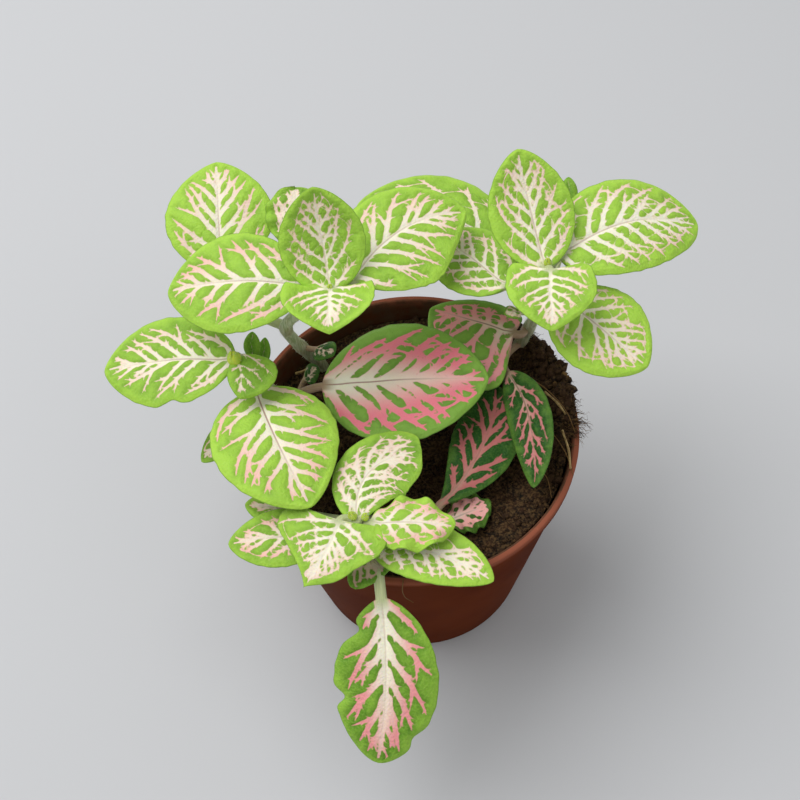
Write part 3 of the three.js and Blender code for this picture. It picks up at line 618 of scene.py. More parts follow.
class Network:
    """The veins of one blade: flat paths (x to the right, y along the midrib) with half widths.

    Each vein grows from a point in steps, turning little by little towards the tip, and stops at the
    plain margin or just short of another vein."""

    def __init__(self, leaf, length, rng):
        self.leaf, self.length, self.rng = leaf, length, rng
        self.bold, self.dense = leaf["bold"], leaf["net"]
        self.scale = min(1.0, leaf["width"] / 12) ** 0.5
        self.flare = 0.3 * leaf["flush"]
        self.veins = []
        self.taken = np.zeros((0, 2))
        self.y = np.linspace(0, length, 160)
        self.widths = {sign: half_width(leaf, self.y / length, sign) for sign in (-1, 1)}
        self.slopes = {sign: np.gradient(self.widths[sign], self.y) for sign in (-1, 1)}

    def margin(self, point):
        """How far a flat point is inside the margin."""
        sign = -1 if point[0] < 0 else 1
        if abs(point[0]) < 0.5:
            return self.length - point[1]
        gap = np.interp(point[1], self.y, self.widths[sign]) - abs(point[0])
        slope = np.interp(point[1], self.y, self.slopes[sign])
        return min(gap / math.hypot(1, min(slope, STEEPEST)), self.length - point[1])

    def grow(self, start, angle, reach, turn, half, gap, own=1.0, rim=1.0, hug=False):
        """Grows a vein of at most a reach, with half widths from its foot to its end. Angle is its heading
        in degrees from the midrib, to the right if positive, and turn the part of it that is lost on the
        way. Another vein nearer than the gap stops it, but not on its first stretch, own. Rim is the share
        of the plain margin that it keeps off; one that hugs the margin turns along it instead."""
        steps = max(3, int(reach / VEIN_STEP))
        drift = np.cumsum(self.rng.normal(0, WANDER, steps))
        path, at, angle = [np.array(start, float)], np.array(start, float), float(angle)
        wanted = angle
        for i in range(steps):
            turned = turn * min(1, i * VEIN_STEP / (0.6 * max(self.length, self.leaf["width"])))
            heading = math.radians(angle * (1 - turned) + drift[i])
            at = at + VEIN_STEP * np.array([math.sin(heading), math.cos(heading)])
            room = self.leaf["rim"] * rim * min(1, 0.35 + i * VEIN_STEP / 4)
            if hug and self.margin(at) < room * 1.15 and abs(angle) > HUG_ANGLE:
                angle *= 0.87
            elif self.margin(at) < room:
                break
            elif hug:
                angle += 0.09 * (wanted - angle)
            if (i + 1) * VEIN_STEP > own and len(self.taken):
                if ((self.taken - at) ** 2).sum(1).min() < gap**2:
                    break
            path.append(at)
        if len(path) < 3:
            return None
        share = np.linspace(0, 1, len(path))
        vein = np.array(path), np.interp(share, np.linspace(0, 1, len(half)), half)
        self.veins.append(vein)
        return vein

    def take(self, grown):
        """Marks grown veins as taken room."""
        self.taken = np.vstack([self.taken] + [path for path, _ in grown])

    def heading_at(self, path, i):
        """Degrees from the midrib's direction of a path at one of its points."""
        way = path[min(i + 1, len(path) - 1)] - path[max(i - 1, 0)]
        return math.degrees(math.atan2(way[0], way[1]))

    def add_midrib(self):
        """Adds the midrib: it swings a little from side to side and narrows towards the tip."""
        y = np.arange(0, self.length - 0.9 * self.leaf["rim"], VEIN_STEP)
        share = y / self.length
        swings, start = self.rng.uniform(9, 12), self.rng.uniform(0, 6)
        x = 0.14 * np.sin(share * swings + start) * smoothstep(0, 0.3, share)
        taper = np.interp(share, [0, 0.12, 0.5, 0.8, 1], [0.42 + self.flare, 0.38, 0.33, 0.27, 0.14])
        middle = np.stack([x, y], -1), self.bold * self.scale * taper
        self.veins.append(middle)
        self.take([middle])
        return middle

    def add_sides(self, middle):
        """Adds the side veins in pairs, at the leaf's fan of angles. Returns each with its side."""
        leaf, sides = self.leaf, []
        for i in range(leaf["pairs"]):
            share = i / max(1, leaf["pairs"] - 1)
            for sign in (-1, 1):
                along = lerp(*SIDE_STARTS, share) + self.rng.normal(0, 0.01) + 0.012 * sign
                angle = lerp(*leaf["fan"], share ** 0.8) + self.rng.normal(0, 2)
                foot = max(0, min(int(along * self.length / VEIN_STEP), len(middle[0]) - 4))
                half = np.array([0.4 + self.flare * 0.7, 0.37, 0.34, 0.29, 0.22, 0.07])
                half = self.bold * self.scale * half
                if share > 0.8:
                    half = half * 0.85
                across = 0.6 * leaf["width"] * (1 + sign * leaf["skew"])
                reach = max(self.length * lerp(0.45, 1, min(1, share * 4)), across)
                side = self.grow(
                    middle[0][foot], sign * angle, reach, lerp(*leaf["curve"], share), half, 0.62,
                    own=1.6 * self.scale + 0.4, hug=i == 0)
                if side:
                    sides.append((side, sign))
                    self.take([side])
        return sides

    def add_prongs(self, sides):
        """Adds prongs: most side veins fork once before and once past their middle."""
        prongs = []
        for (path, widths), sign in sides:
            if len(path) < 8:
                continue
            for hand, low, high in ((-1, 0.3, 0.5), (1, 0.55, 0.75)):
                if self.rng.random() < 0.15:
                    continue
                i = int(self.rng.uniform(low, high) * len(path))
                angle = self.heading_at(path, i) - sign * hand * self.rng.uniform(28, 44)
                reach = (len(path) - i) * VEIN_STEP * self.rng.uniform(0.75, 1.05)
                wide = widths[i]
                half = wide * 0.8, wide * 0.66, wide * 0.42, 0.05
                prong = self.grow(path[i], angle, reach, 0.3, half, 0.5, own=0.5 + wide * 1.6)
                if prong:
                    prongs.append(prong)
                    self.take([prong])
        return prongs

    def add_fork(self, middle):
        """Adds a prong to either side of the midrib near its tip."""
        fork = []
        for hand in (-1, 1):
            i = int(len(middle[0]) * self.rng.uniform(0.84, 0.9))
            prong = self.grow(middle[0][i], hand * self.rng.uniform(24, 36), 0.14 * self.length, 0.3,
                              self.bold * self.scale * np.array([0.24, 0.18, 0.05]), 0.4, own=0.8)
            if prong:
                fork.append(prong)
        self.take(fork)
        return fork

    def teeth(self, parent, spacing, reach, first, wide, gap):
        """Short pointed spurs along both sides of a vein, from a first distance on."""
        path, widths = parent
        grown = []
        place, hand = first * self.rng.uniform(0.7, 1.3), self.rng.choice([-1, 1])
        while place < (len(path) - 1) * VEIN_STEP - 0.2:
            i = int(place / VEIN_STEP)
            angle = self.heading_at(path, i) + hand * self.rng.uniform(40, 62)
            wide_here = min(wide, widths[i] * 0.75)
            size = reach * self.rng.uniform(0.55, 1.2) + widths[i]
            tooth = self.grow(path[i], angle, size, 0.25, (wide_here, wide_here * 0.7, 0.04), gap,
                              own=widths[i] + 0.55, rim=0.9)
            if tooth:
                grown.append(tooth)
            place += spacing * self.rng.uniform(0.65, 1.35)
            hand = -hand if self.rng.random() < 0.85 else hand
        return grown

    def add_spurs(self, middle, sides, prongs):
        """Adds spurs to all veins, shorter and sparser where the net is open."""
        dense, scale = self.dense, self.scale
        spacing, reach = lerp(1.7, 0.85, dense), lerp(0.65, 1.15, dense) * scale
        wide = lerp(0.17, 0.15, dense) * min(1, self.bold + 0.2)
        rows = [(side, spacing, reach, lerp(2.2, 0.9, dense) * scale, wide) for side, _ in sides]
        rows += [(prong, spacing, reach * 0.8, 0.7, wide * 0.9) for prong in prongs]
        rows.append((middle, spacing * 1.3, reach * 1.1, 1.0, wide))
        spurs = []
        for row in rows:
            grown = self.teeth(*row, lerp(0.55, 0.34, dense))
            self.take(grown)
            spurs += grown
        return spurs

    def add_arc(self, low, high, place, half, sign):
        """Joins a side vein's path to the next one's with a thin arc that bows towards the margin."""
        start = low[int(place * (len(low) - 1))]
        run = 0.85 * np.linalg.norm(start - low[0])
        end = high[np.argmin(np.abs(np.linalg.norm(high - high[0], axis=1) - run))]
        if 0.8 < np.linalg.norm(end - start) < 5:
            path = bezier(start, (start + end) / 2 + np.array([sign * 0.5, 0.25]), end, 12)
            self.veins.append((path, half * np.interp(np.linspace(-1, 1, 12), [-1, 0, 1], [1.3, 0.7, 1.2])))
            self.take([(path, None)])

    def add_cross_veins(self, sides, spurs):
        """Joins neighbouring side veins by arcs, then adds finer spurs to spurs, then short cross veins."""
        dense, bold, rng = self.dense, self.bold, self.rng
        pairs = [(low, high, sign) for ((low, _), sign), ((high, _), _) in zip(sides[:-2], sides[2:])]
        for low, high, sign in pairs:
            self.add_arc(low, high, rng.uniform(0.78, 0.92), 0.13 * bold, sign)
            if rng.random() < dense:
                self.add_arc(low, high, rng.uniform(0.4, 0.6), 0.1 * bold, sign)
        for spur in spurs:
            if rng.random() < dense * 0.5:
                self.teeth(spur, 0.5, 0.6 * self.scale, 0.4, 0.09, 0.24)
        half = np.array([0.1, 0.07, 0.05, 0.05, 0.07, 0.1]) * bold
        for low, high, _ in pairs:
            for _ in range(rng.binomial(3, dense * 0.6)):
                start = low[int(rng.uniform(0.12, 0.6) * len(low))]
                end = high[np.argmin(((high - start) ** 2).sum(1))]
                if 0.9 < np.linalg.norm(end - start) < 2.6:
                    path = bezier(start, (start + end) / 2 + rng.normal(0, 0.4, 2), end, len(half))
                    self.veins.append((path, half))


def vein_network(leaf, length, rng):
    """The veins of a blade: the midrib and, unless it is a leaflet, side veins, their prongs, spurs on all
    of them, and fine cross veins where the net is dense."""
    net = Network(leaf, length, rng)
    middle = net.add_midrib()
    if leaf["pairs"]:
        sides = net.add_sides(middle)
        prongs = net.add_prongs(sides)
        prongs += net.add_fork(middle)
        spurs = net.add_spurs(middle, sides, prongs)
        if leaf["net"] > CROSSED_FROM:
            net.add_cross_veins(sides, spurs)
    return net.veins


def vein_depth(veins, flat):
    """How deep each flat point lies inside the nearest vein, in mm, negative outside.

    WEB * log(sum over veins of exp(depth / WEB)), so that meeting veins grow together a little."""
    total = np.full(len(flat), math.exp(-FAR / WEB))
    for path, half in veins:
        low, high = path.min(0) - FAR, path.max(0) + FAR
        near = np.flatnonzero(((flat > low) & (flat < high)).all(1))
        if not len(near):
            continue
        start, span = path[:-1], np.diff(path, axis=0)
        offset = flat[near][:, None] - start
        share = ((offset * span).sum(-1) / np.maximum((span * span).sum(-1), 1e-9)).clip(0, 1)
        gap = np.linalg.norm(offset - share[..., None] * span, axis=-1)
        gap = gap - (half[:-1] + np.diff(half) * share)
        total[near] += np.exp(-np.maximum(gap.min(1), -1) / WEB)
    return WEB * np.log(total)


# ---- leaves: surface ----

PETIOLE_STEP = 2.5  # how much further apart the petiole's rings are than the blade's
ROW_EVENNESS = 0.7  # 1 spaces a blade's rings evenly, 0 crowds them at its ends
COLUMN_CROWDING = 1.15  # above 1, columns stand closer together at the margins
RUFFLES = ((0.006, 41), (0.004, 67))  # the outline's ripples: share of the width, radians from base to tip
SWELL_REACH = 4.5  # mm across a gentle swell
FOLD_WIDTHS = (0.45, 0.5)  # half widths in mm of the groove over the midrib and of the rib under it
UNDER_RIBS = 0.1  # mm by which side veins stand out underneath
SWEEP_REACH = 0.22  # share of the blade over which the margins are swept back
STALK_PATTERN = 8  # mm of the skin's pattern along a petiole


def leaf_rows(blade, step):
    """Stations along the leaf: places, headings, shares along the blade (0 on the petiole) and shares along
    the petiole (1 on the blade)."""
    stalk_run = np.linalg.norm(blade.base - blade.root)
    stalk_rows = max(6, int(stalk_run / (PETIOLE_STEP * step)))
    s = np.linspace(0, 1, stalk_rows, endpoint=False)
    stalk_place, stalk_way = blade.stalk(s)
    even = np.linspace(0, 1, max(24, int(blade.length / step)) + 1)
    u = lerp((1 - np.cos(np.pi * even)) / 2, even, ROW_EVENNESS)
    place = np.vstack([stalk_place, blade.midrib(u)])
    way = np.vstack([stalk_way, blade.heading(u)])
    return place, way, np.concatenate([np.zeros(stalk_rows), u]), np.concatenate([s, np.ones(len(u))])


def add_leaf(shape, leaf, stem, sizes, droop, seed):
    """Adds a leaf: rings that run over the top from left to right and back underneath.

    A ring's point is place + across * x - way * sweep + normal * height. x is v times the half width, and
    sweep is clasp * half width * v^2 near the base. Height is lift + relief +- thickness, less a groove on
    top and ribs underneath. Lift is (cup * half width + wave * sin(2 pi waves u)) * v^2 plus swells, less
    droop * half width * |v|^3, and relief raises the tissue between the veins."""
    leaf = {**LEAF, **leaf}
    rng = np.random.default_rng(SEED * 1000 + seed)
    blade = Blade(leaf, stem)
    place, way, u, stalk = leaf_rows(blade, sizes["grid"])
    columns = max(16, int(leaf["width"] / sizes["grid"] / 2) * 2) + 1
    on_blade = stalk >= 1
    grow = np.clip(u / BLADE_START, 0, 1)
    blade_share = grow[:, None]
    across = unit(blade.side - (way @ blade.side)[:, None] * way)
    normal = np.cross(across, way)

    v = np.linspace(-1, 1, columns)
    v = np.sign(v) * (1 - (1 - np.abs(v)) ** COLUMN_CROWDING)
    ruffle = 1
    for strength, ripples in RUFFLES:
        ruffle = ruffle + strength * np.sin(u * ripples + rng.uniform(0, 6))
    stalk_half = leaf["petiole"] * (1 + 0.25 * np.exp(-(stalk / 0.12) ** 2))
    left = np.where(on_blade, half_width(leaf, u, -1) * ruffle, stalk_half)
    right = np.where(on_blade, half_width(leaf, u, 1) / ruffle, stalk_half)
    half = np.where(v < 0, left[:, None], right[:, None])
    x = half * v
    flat = np.stack([x, np.broadcast_to((u * blade.length)[:, None], x.shape)], -1)

    veins = vein_network(leaf, blade.length, rng)
    depth = vein_depth(veins, flat.reshape(-1, 2)).reshape(x.shape)
    depth = np.where(on_blade[:, None], depth, 0.5)
    edge = (1 - np.abs(v)) * half

    ripple = np.sin(2 * np.pi * leaf["waves"] * u[:, None] + np.where(v < 0, LEFT_WAVE, 0))
    lift = (half * leaf["cup"] + leaf["wave"] * ripple) * v ** 2 * blade_share
    swells = np.stack([flat[..., 0] / SWELL_REACH + seed * 7, flat[..., 1] / SWELL_REACH], -1)
    lift = lift + sizes["swell"] * lattice_noise(swells, seed) * blade_share * smoothstep(0, 2, edge)
    lift = lift - droop * half * np.abs(v) ** 3 * blade_share
    cushion = 1 - np.exp(-np.maximum(-depth, 0) / 0.7)
    relief = sizes["relief"] * cushion * smoothstep(0, 1.2, edge) * blade_share
    groove, rib = (
        np.exp(-(x / width) ** 2) * lerp(deep, shallow, u[:, None]) * blade_share
        for width, deep, shallow in zip(FOLD_WIDTHS, (0.3, 0.45), (0.05, 0.08)))
    ribs = UNDER_RIBS * smoothstep(-0.1, 0.3, depth) * blade_share * smoothstep(0, 1, edge)
    taper = np.clip((1 - u) * TIP_TAPER + TIP_THICK, 0, 1)
    round_stalk = leaf["petiole"] * (1 - grow)
    thin = sizes["thickness"] / 2 * grow * taper
    bulge = round_stalk[:, None] * np.sqrt(1 - v ** 2) + thin[:, None] * np.sqrt(1 - v ** 8)

    sweep = leaf["clasp"] * half * v ** 2 * np.exp(-((u / SWEEP_REACH) ** 2))[:, None] * on_blade[:, None]
    body = place[:, None] + across[:, None] * x[..., None] - way[:, None] * sweep[..., None]
    top = body + normal[:, None] * (lift + relief - groove + bulge)[..., None]
    under = body + normal[:, None] * (lift + relief - bulge - rib - ribs)[..., None]

    def both(value):
        """A value of the top, carried on underneath."""
        value = np.broadcast_to(value, x.shape)
        return over_and_under(value, value)

    facing = over_and_under(np.zeros(x.shape), np.ones(x.shape))
    facing[:, [0, columns - 1]] = 0.5
    reach = np.abs(x) / np.maximum(np.where(on_blade[:, None], half, 1), 0.3)
    pinkness = leaf["pink"] * smoothstep(*leaf["blush"], 0.8 * reach + 0.5 * u[:, None])
    off_stalk = lerp(smoothstep(0.7, 1.5, np.abs(x)), 1, smoothstep(0, 0.1, u)[:, None]) * on_blade[:, None]
    layout = over_and_under(flat, flat)
    layout[..., 1] += np.where(on_blade, 0, (stalk - 1) * STALK_PATTERN)[:, None]
    shape.add_rings(
        over_and_under(top, under), depth=both(depth), edge=both(edge), under=facing,
        stalk=both(1 - off_stalk), middle=both(np.abs(x)), along=both(u[:, None]), pink=both(pinkness),
        hot=leaf["hot"], tone=leaf["tone"], line=leaf["line"], blade=layout,
    )


# ---- stems and straw ----

STEM_RINGS = 200
STEM_SIDES = 28
HAIR_START = 60  # the ring from which a stem has hairs, above the peat
HAIR_RADIUS = 0.022
BUD_HAIR_RADIUS = 0.02
HAIR_QUADS = np.array([(0, 1, 4, 3), (1, 2, 5, 4), (2, 0, 3, 5)])
HAIR_TRIS = np.array([(3, 4, 6), (4, 5, 6), (5, 3, 6), (0, 2, 1)])


def add_hairs(shape, roots, ways, lengths, radius, **values):
    """Adds fine tapered hairs: three-sided, of two rings and a tip, bent a little under their weight."""
    _, _, circle = crossways(ways, 3)
    run = ways * lengths[:, None]
    low = roots[:, None] + circle * radius
    high = (roots + run * 0.5)[:, None] + circle * radius * 0.7
    tip = roots + run - np.array([0, 0, 1]) * lengths[:, None] * 0.12
    shape.add_copies(np.concatenate([low, high, tip[:, None]], axis=1), HAIR_QUADS, HAIR_TRIS, **values)


def add_stem(shape, stem, settings, seed):
    """Adds a stem: a tube whose radius swells at each petiole and tapers to the crown, with hairs."""
    rng = np.random.default_rng(SEED * 2000 + seed)
    centres = smooth_path(stem["path"], STEM_RINGS)
    run = np.linspace(0, 1, STEM_RINGS)
    swell = np.zeros(STEM_RINGS)
    for leaf in stem["leaves"].values():
        gap = np.linalg.norm(centres - np.array(leaf["root"], float), axis=1)
        swell = np.maximum(swell, np.exp(-((gap - gap.min()) / 0.9) ** 2))
    radii = stem["radius"] * (1 + 0.16 * swell - 0.12 * run)
    # the last rings close in a small dome
    radii = radii * np.sqrt(np.clip(1.02 - np.clip((run - 0.985) / 0.015, 0, 1) ** 2, 0.02, 1))
    rings = tube(centres, radii, STEM_SIDES, side_hint=(0.3, -1, 0.2))
    angle = np.linspace(0, 2 * np.pi, STEM_SIDES, endpoint=False)
    ridge = 0.03 * np.cos(angle * 4)[None, :] + 0.03 * lattice_noise(
        np.stack(np.meshgrid(run * 30, angle * 2, indexing="ij"), -1), seed)
    out = unit(rings - centres[:, None])
    rings = rings + out * ridge[..., None]
    shape.add_rings(rings, along=run[:, None], hair=0.0, node=swell[:, None])
    count = int(settings.hairs * np.linalg.norm(np.diff(centres, axis=0), axis=1).sum())
    i = rng.integers(HAIR_START, STEM_RINGS - 1, count)
    j = rng.integers(0, STEM_SIDES, count)
    ways = unit(out[i, j] + rng.normal(0, 0.35, (count, 3)))
    lengths = settings.hair_length / MM * rng.uniform(0.4, 1.2, count)
    add_hairs(shape, rings[i, j] - out[i, j] * 0.05, ways, lengths, HAIR_RADIUS,
              along=0.5, hair=1.0, node=0.0)


STRAW_RINGS = 40
STRAW_SIDES = 16


def add_straw(shape, straw, seed):
    """Adds a straw: a flattened tube with an uneven radius, and a skin raised by noise into ridges."""
    centres = smooth_path(straw["path"], STRAW_RINGS)
    run = np.linspace(0, 1, STRAW_RINGS)
    radii = straw["radius"] * (0.85 + 0.15 * np.sin(run * 11 + seed))
    rings = tube(centres, radii, STRAW_SIDES, (0, 0, 1), flat=0.7)
    out = unit(rings - centres[:, None])
    around = np.arange(STRAW_SIDES) * 0.9
    ridge = lattice_noise(np.stack(np.meshgrid(run * 3, around, indexing="ij"), -1), seed + 40)
    shape.add_rings(rings + out * (0.05 * ridge)[..., None])


# ---- buds ----

# a bud's scales, the two outer ones first: the degrees they reach round it, a turn in radians on top of
# their own, their girth and their height
BUD_SCALES = ((215, 0, 1, 1), (215, 0, 1, 1), (150, 0.8, 0.82, 1.06), (150, 0.8, 0.82, 1.06))
SCALE_TURN = 0.97  # half turns from a scale to the next
SCALE_SKIN = 0.13
CORE_GIRTH = 0.8


def bud_girth(h):
    """A bud's girth by its height, both as shares: sin(pi (0.04 + 0.93 h)^0.72)^0.8."""
    return np.sin(np.pi * (0.04 + 0.93 * h) ** 0.72).clip(0) ** 0.8


def add_bud(shape, bud, settings, seed):
    """Adds a folded bud: overlapping spoon-shaped scales round a core, each a closed thin body.

    A point is at + axis * height + (cos a * side + sin a * other) * girth. A scale keeps to its own
    stretch of azimuth, and is thickened outwards."""
    rng = np.random.default_rng(SEED * 3000 + seed)
    at, to = np.array(bud["at"], float), np.array(bud["to"], float)
    axis = unit(to - at)
    reach = np.linalg.norm(to - at)
    side = unit(np.cross(axis, [0.3, 1, 0.2]))
    other = np.cross(axis, side)

    def surface(height, across, azimuth, girth):
        """The docstring's point for each height and azimuth, turned from one direction across."""
        first, second = across
        turned = np.cos(azimuth)[..., None] * first + np.sin(azimuth)[..., None] * second
        return at + axis * height[:, None, None] + turned * girth[..., None]

    h = np.linspace(0.02, 1, 20)
    spin = np.linspace(0, 2 * np.pi, 24, endpoint=False)
    girth = CORE_GIRTH * bud["radius"] * bud_girth(h)
    core = surface(h * reach * 0.97, (other, side), spin, girth[:, None])
    shape.add_rings(core, rib=0.3, along=h[:, None], hair=0.0)
    h = np.linspace(0.0, 1, 25)
    v = np.linspace(-1, 1, 25)
    for k, (swing, turn, layer, tall) in enumerate(BUD_SCALES):
        centre = k * math.pi * SCALE_TURN + rng.uniform(-0.2, 0.2) + turn
        spread = math.radians(swing) / 2 * np.sin(np.pi * np.clip(h, 0.02, 0.985) ** 0.6) ** 0.45
        azimuth = centre + spread[:, None] * v
        inner = np.maximum(0.02, bud["radius"] * bud_girth(h) * layer)[:, None] * (1 - 0.06 * v**2)
        skin = SCALE_SKIN * np.sqrt(1 - v**6)[None, :] * np.clip((1 - h) * 8 + 0.2, 0, 1)[:, None]
        height = h * (reach * tall)
        outer, lining = (surface(height, (side, other), azimuth, inner + skin * share) for share in (1, -0.3))
        grid = over_and_under(outer, lining)
        ribbed = np.concatenate([np.abs(v), np.abs(v)[-2:0:-1]])
        shape.add_rings(grid, rib=ribbed[None], along=h[:, None], hair=0.0)
    count = settings.bud_hairs
    h = rng.uniform(0.1, 0.95, count)
    a = rng.uniform(0, 2 * np.pi, count)
    out = np.cos(a)[:, None] * side + np.sin(a)[:, None] * other
    roots = at + axis * (h * reach)[:, None] + out * (bud["radius"] * bud_girth(h))[:, None]
    ways = unit(out + axis * 0.5 + rng.normal(0, 0.3, (count, 3)))
    add_hairs(shape, roots, ways, rng.uniform(0.2, 0.5, count), BUD_HAIR_RADIUS, rib=0.5, along=0.5, hair=1.0)


# ---- pot and peat ----

ARC_POINTS = 5


def wall_radius(z):
    """Radius of the pot's outer wall at a height."""
    return lerp(BASE_RADIUS, RIM_RADIUS - LIP_STEP, np.minimum(1, z / LIP_BOTTOM))


def inner_radius(z):
    """Radius of the pot's inner wall at a height."""
    return wall_radius(z) - WALL


def rounded(corners):
    """An outline through (r, z, rounding) corners, each turned by an arc of points of that size."""
    corners = np.asarray(corners, float)
    outline = [corners[0, :2]]
    for before, corner, after in zip(corners[:-2], corners[1:-1], corners[2:]):
        size = corner[2]
        start = corner[:2] + unit(before[:2] - corner[:2]) * size
        end = corner[:2] + unit(after[:2] - corner[:2]) * size
        outline.extend(bezier(start, corner[:2], end, ARC_POINTS))
    outline.append(corners[-1, :2])
    return np.array(outline)


def pot_outline():
    """The pot's section, as (r, z) points: out under the floor, up the wall and the lip, and back inside."""
    top_wall = RIM_RADIUS - LIP_STEP
    return rounded([
        (0.01, 0.5, 0), (BASE_RADIUS - 3.2, 0.5, 0.3), (BASE_RADIUS - 2.6, 0, 0.2), (BASE_RADIUS, 0, 0.7),
        (top_wall, LIP_BOTTOM - 0.1, 0.15), (RIM_RADIUS - 0.1, LIP_BOTTOM + 0.2, 0.3),
        (RIM_RADIUS, POT_HEIGHT, 0.45), (RIM_RADIUS - 1.25, POT_HEIGHT, 0.35),
        (top_wall - WALL, LIP_BOTTOM, 0.8), (float(inner_radius(FLOOR)), FLOOR, 0.6), (0.01, FLOOR, 0),
    ])


def heap_share(azimuth):
    """How much of the heap lies at an azimuth, from 0 to 1."""
    return smoothstep(SOIL_HEAP_START, 1, np.cos(azimuth - math.radians(SOIL_HEAP_AZIMUTH)))


def soil_edge(azimuth):
    """Height of the peat where it meets the pot."""
    slope = smoothstep(0, 1, 0.5 + 0.5 * np.cos(azimuth - math.radians(SOIL_SLOPE_AZIMUTH)))
    low = SOIL_LOW_EDGE + SOIL_SLOPE * slope
    return lerp(low, POT_HEIGHT + 2 * GAP, np.minimum(1, heap_share(azimuth) / SOIL_HEAP_CLEAR))


def soil_overhang(azimuth):
    """How far the heap hangs out over the rim."""
    return SOIL_OVERHANG * np.clip((heap_share(azimuth) - SOIL_HEAP_CLEAR) / (1 - SOIL_HEAP_CLEAR), 0, 1)


def soil_surface(share, azimuth):
    """Radius and height of the peat's surface: share is 0 in the middle and 1 at its outer edge.

    The height dishes as share^SOIL_CURVE from the middle to the edge, plus the heap's crest."""
    edge_radius = inner_radius(soil_edge(azimuth) - GAP) - GAP + soil_overhang(azimuth)
    crest = SOIL_CREST * heap_share(azimuth) * np.exp(-((share - 0.93) / 0.07) ** 2)
    height = lerp(SOIL_CENTRE, soil_edge(azimuth), share ** SOIL_CURVE) + crest
    return edge_radius * share, height


def soil_points(share, azimuth):
    """Points of the peat's surface with its clods: layered noise lifts and lowers them."""
    radius, height = soil_surface(share, azimuth)
    flat = np.stack([radius * np.cos(azimuth), radius * np.sin(azimuth)], -1)
    clods = layered_noise(flat / 3.2, SOIL_SEED, 4, 0.6)
    pits = np.abs(lattice_noise(flat / 1.3, SOIL_SEED + 9))
    bumps = 0.55 * clods + 0.3 * pits - 0.1
    bumps = bumps * smoothstep(1.02, 0.93, share) ** 0.5
    return np.concatenate([flat, (height + bumps)[..., None]], -1)


CRUMB_POINTS = unit(np.array([
    (0, 1, 1.618), (0, -1, 1.618), (0, 1, -1.618), (0, -1, -1.618),
    (1, 1.618, 0), (-1, 1.618, 0), (1, -1.618, 0), (-1, -1.618, 0),
    (1.618, 0, 1), (-1.618, 0, 1), (1.618, 0, -1), (-1.618, 0, -1),
], float))
CRUMB_FACES = np.array([
    (0, 1, 8), (0, 8, 4), (0, 4, 5), (0, 5, 9), (0, 9, 1), (1, 6, 8), (8, 6, 10), (8, 10, 4), (4, 10, 2),
    (4, 2, 5), (5, 2, 11), (5, 11, 9), (9, 11, 7), (9, 7, 1), (1, 7, 6), (3, 6, 7), (3, 7, 11), (3, 11, 2),
    (3, 2, 10), (3, 10, 6),
])
NO_QUADS = np.zeros((0, 4), int)
CLOD_POINTS = np.vstack([np.eye(3), -np.eye(3)])
CLOD_FACES = np.array([
    (0, 1, 2), (1, 3, 2), (3, 4, 2), (4, 0, 2), (1, 0, 5), (3, 1, 5), (4, 3, 5), (0, 4, 5),
])


def split_faces(points, faces):
    """Each triangle split in four, with the new points pushed out to the unit sphere."""
    corners = points[faces]
    middles = unit((corners + np.roll(corners, -1, axis=1)) / 2)
    everything = np.concatenate([corners, middles], axis=1).reshape(-1, 3)
    merged, index = np.unique(everything.round(6), axis=0, return_inverse=True)
    a, b, c, ab, bc, ca = index.reshape(-1, 6).T
    split = np.concatenate([np.stack(t, -1) for t in ((a, ab, ca), (ab, b, bc), (ca, bc, c), (ab, bc, ca))])
    return merged, split


def add_crumbs(shape, centres, sizes, rng, fine, **values):
    """Adds irregular crumbs: each a ball of 20 faces, or of 32 if fine, stretched and dented at random."""
    ball, faces = split_faces(CLOD_POINTS, CLOD_FACES) if fine else (CRUMB_POINTS, CRUMB_FACES)
    count = len(centres)
    stretch = rng.uniform(0.55, 1.25, (count, 1, 3))
    dents = 1 + rng.normal(0, 0.16, (count, len(ball), 1))
    turn = np.linalg.qr(rng.normal(size=(count, 3, 3)))[0]
    turn = turn * np.sign(np.linalg.det(turn))[:, None, None]
    bodies = (ball[None] * stretch * dents) @ turn * sizes[:, None, None] + centres[:, None]
    shape.add_copies(bodies, NO_QUADS, faces, **values)


def add_fibres(shape, starts, ways, lengths, radii, rng, sag, shade):
    """Adds thin curling strands: three-sided tubes along a line that wanders and sags as t^2."""
    count, rings, sides = len(starts), 9, 3
    t = np.linspace(0, 1, rings)
    side, other, circle = crossways(ways, sides)
    curl = np.cumsum(rng.normal(0, 0.16, (count, rings, 2)), axis=1)
    curl = (curl - curl[:, :1]) * lengths[:, None, None] * 0.5
    line = (starts[:, None] + ways[:, None] * (t[None, :, None] * lengths[:, None, None])
            + side[:, None] * curl[..., :1] + other[:, None] * curl[..., 1:])
    line[..., 2] -= sag * lengths[:, None] * t**2
    thin = (radii[:, None] * (1 - 0.75 * t)[None])[:, :, None, None]
    points = (line[:, :, None] + circle[:, None] * thin).reshape(count, -1, 3)
    shape.add_copies(np.concatenate([points, line[:, :1], line[:, -1:]], axis=1), *ring_faces(rings, sides),
                     shade=shade)


def add_fringe(shape, rng, count, azimuth, spread, start, rise, stray, length, radius, sag, shade):
    """Adds a fringe of fibres that stand out from the peat's edge round an azimuth."""
    angle = math.radians(azimuth) + rng.normal(0, math.radians(spread), count)
    starts = soil_points(rng.uniform(start, 1.0, count), angle)
    out = np.stack([np.cos(angle), np.sin(angle), np.full(count, rise)], -1)
    ways = unit(out + rng.normal(0, stray, (count, 3)))
    add_fibres(shape, starts, ways, rng.uniform(*length, count), rng.uniform(*radius, count), rng,
               sag, rng.beta(*shade, count))


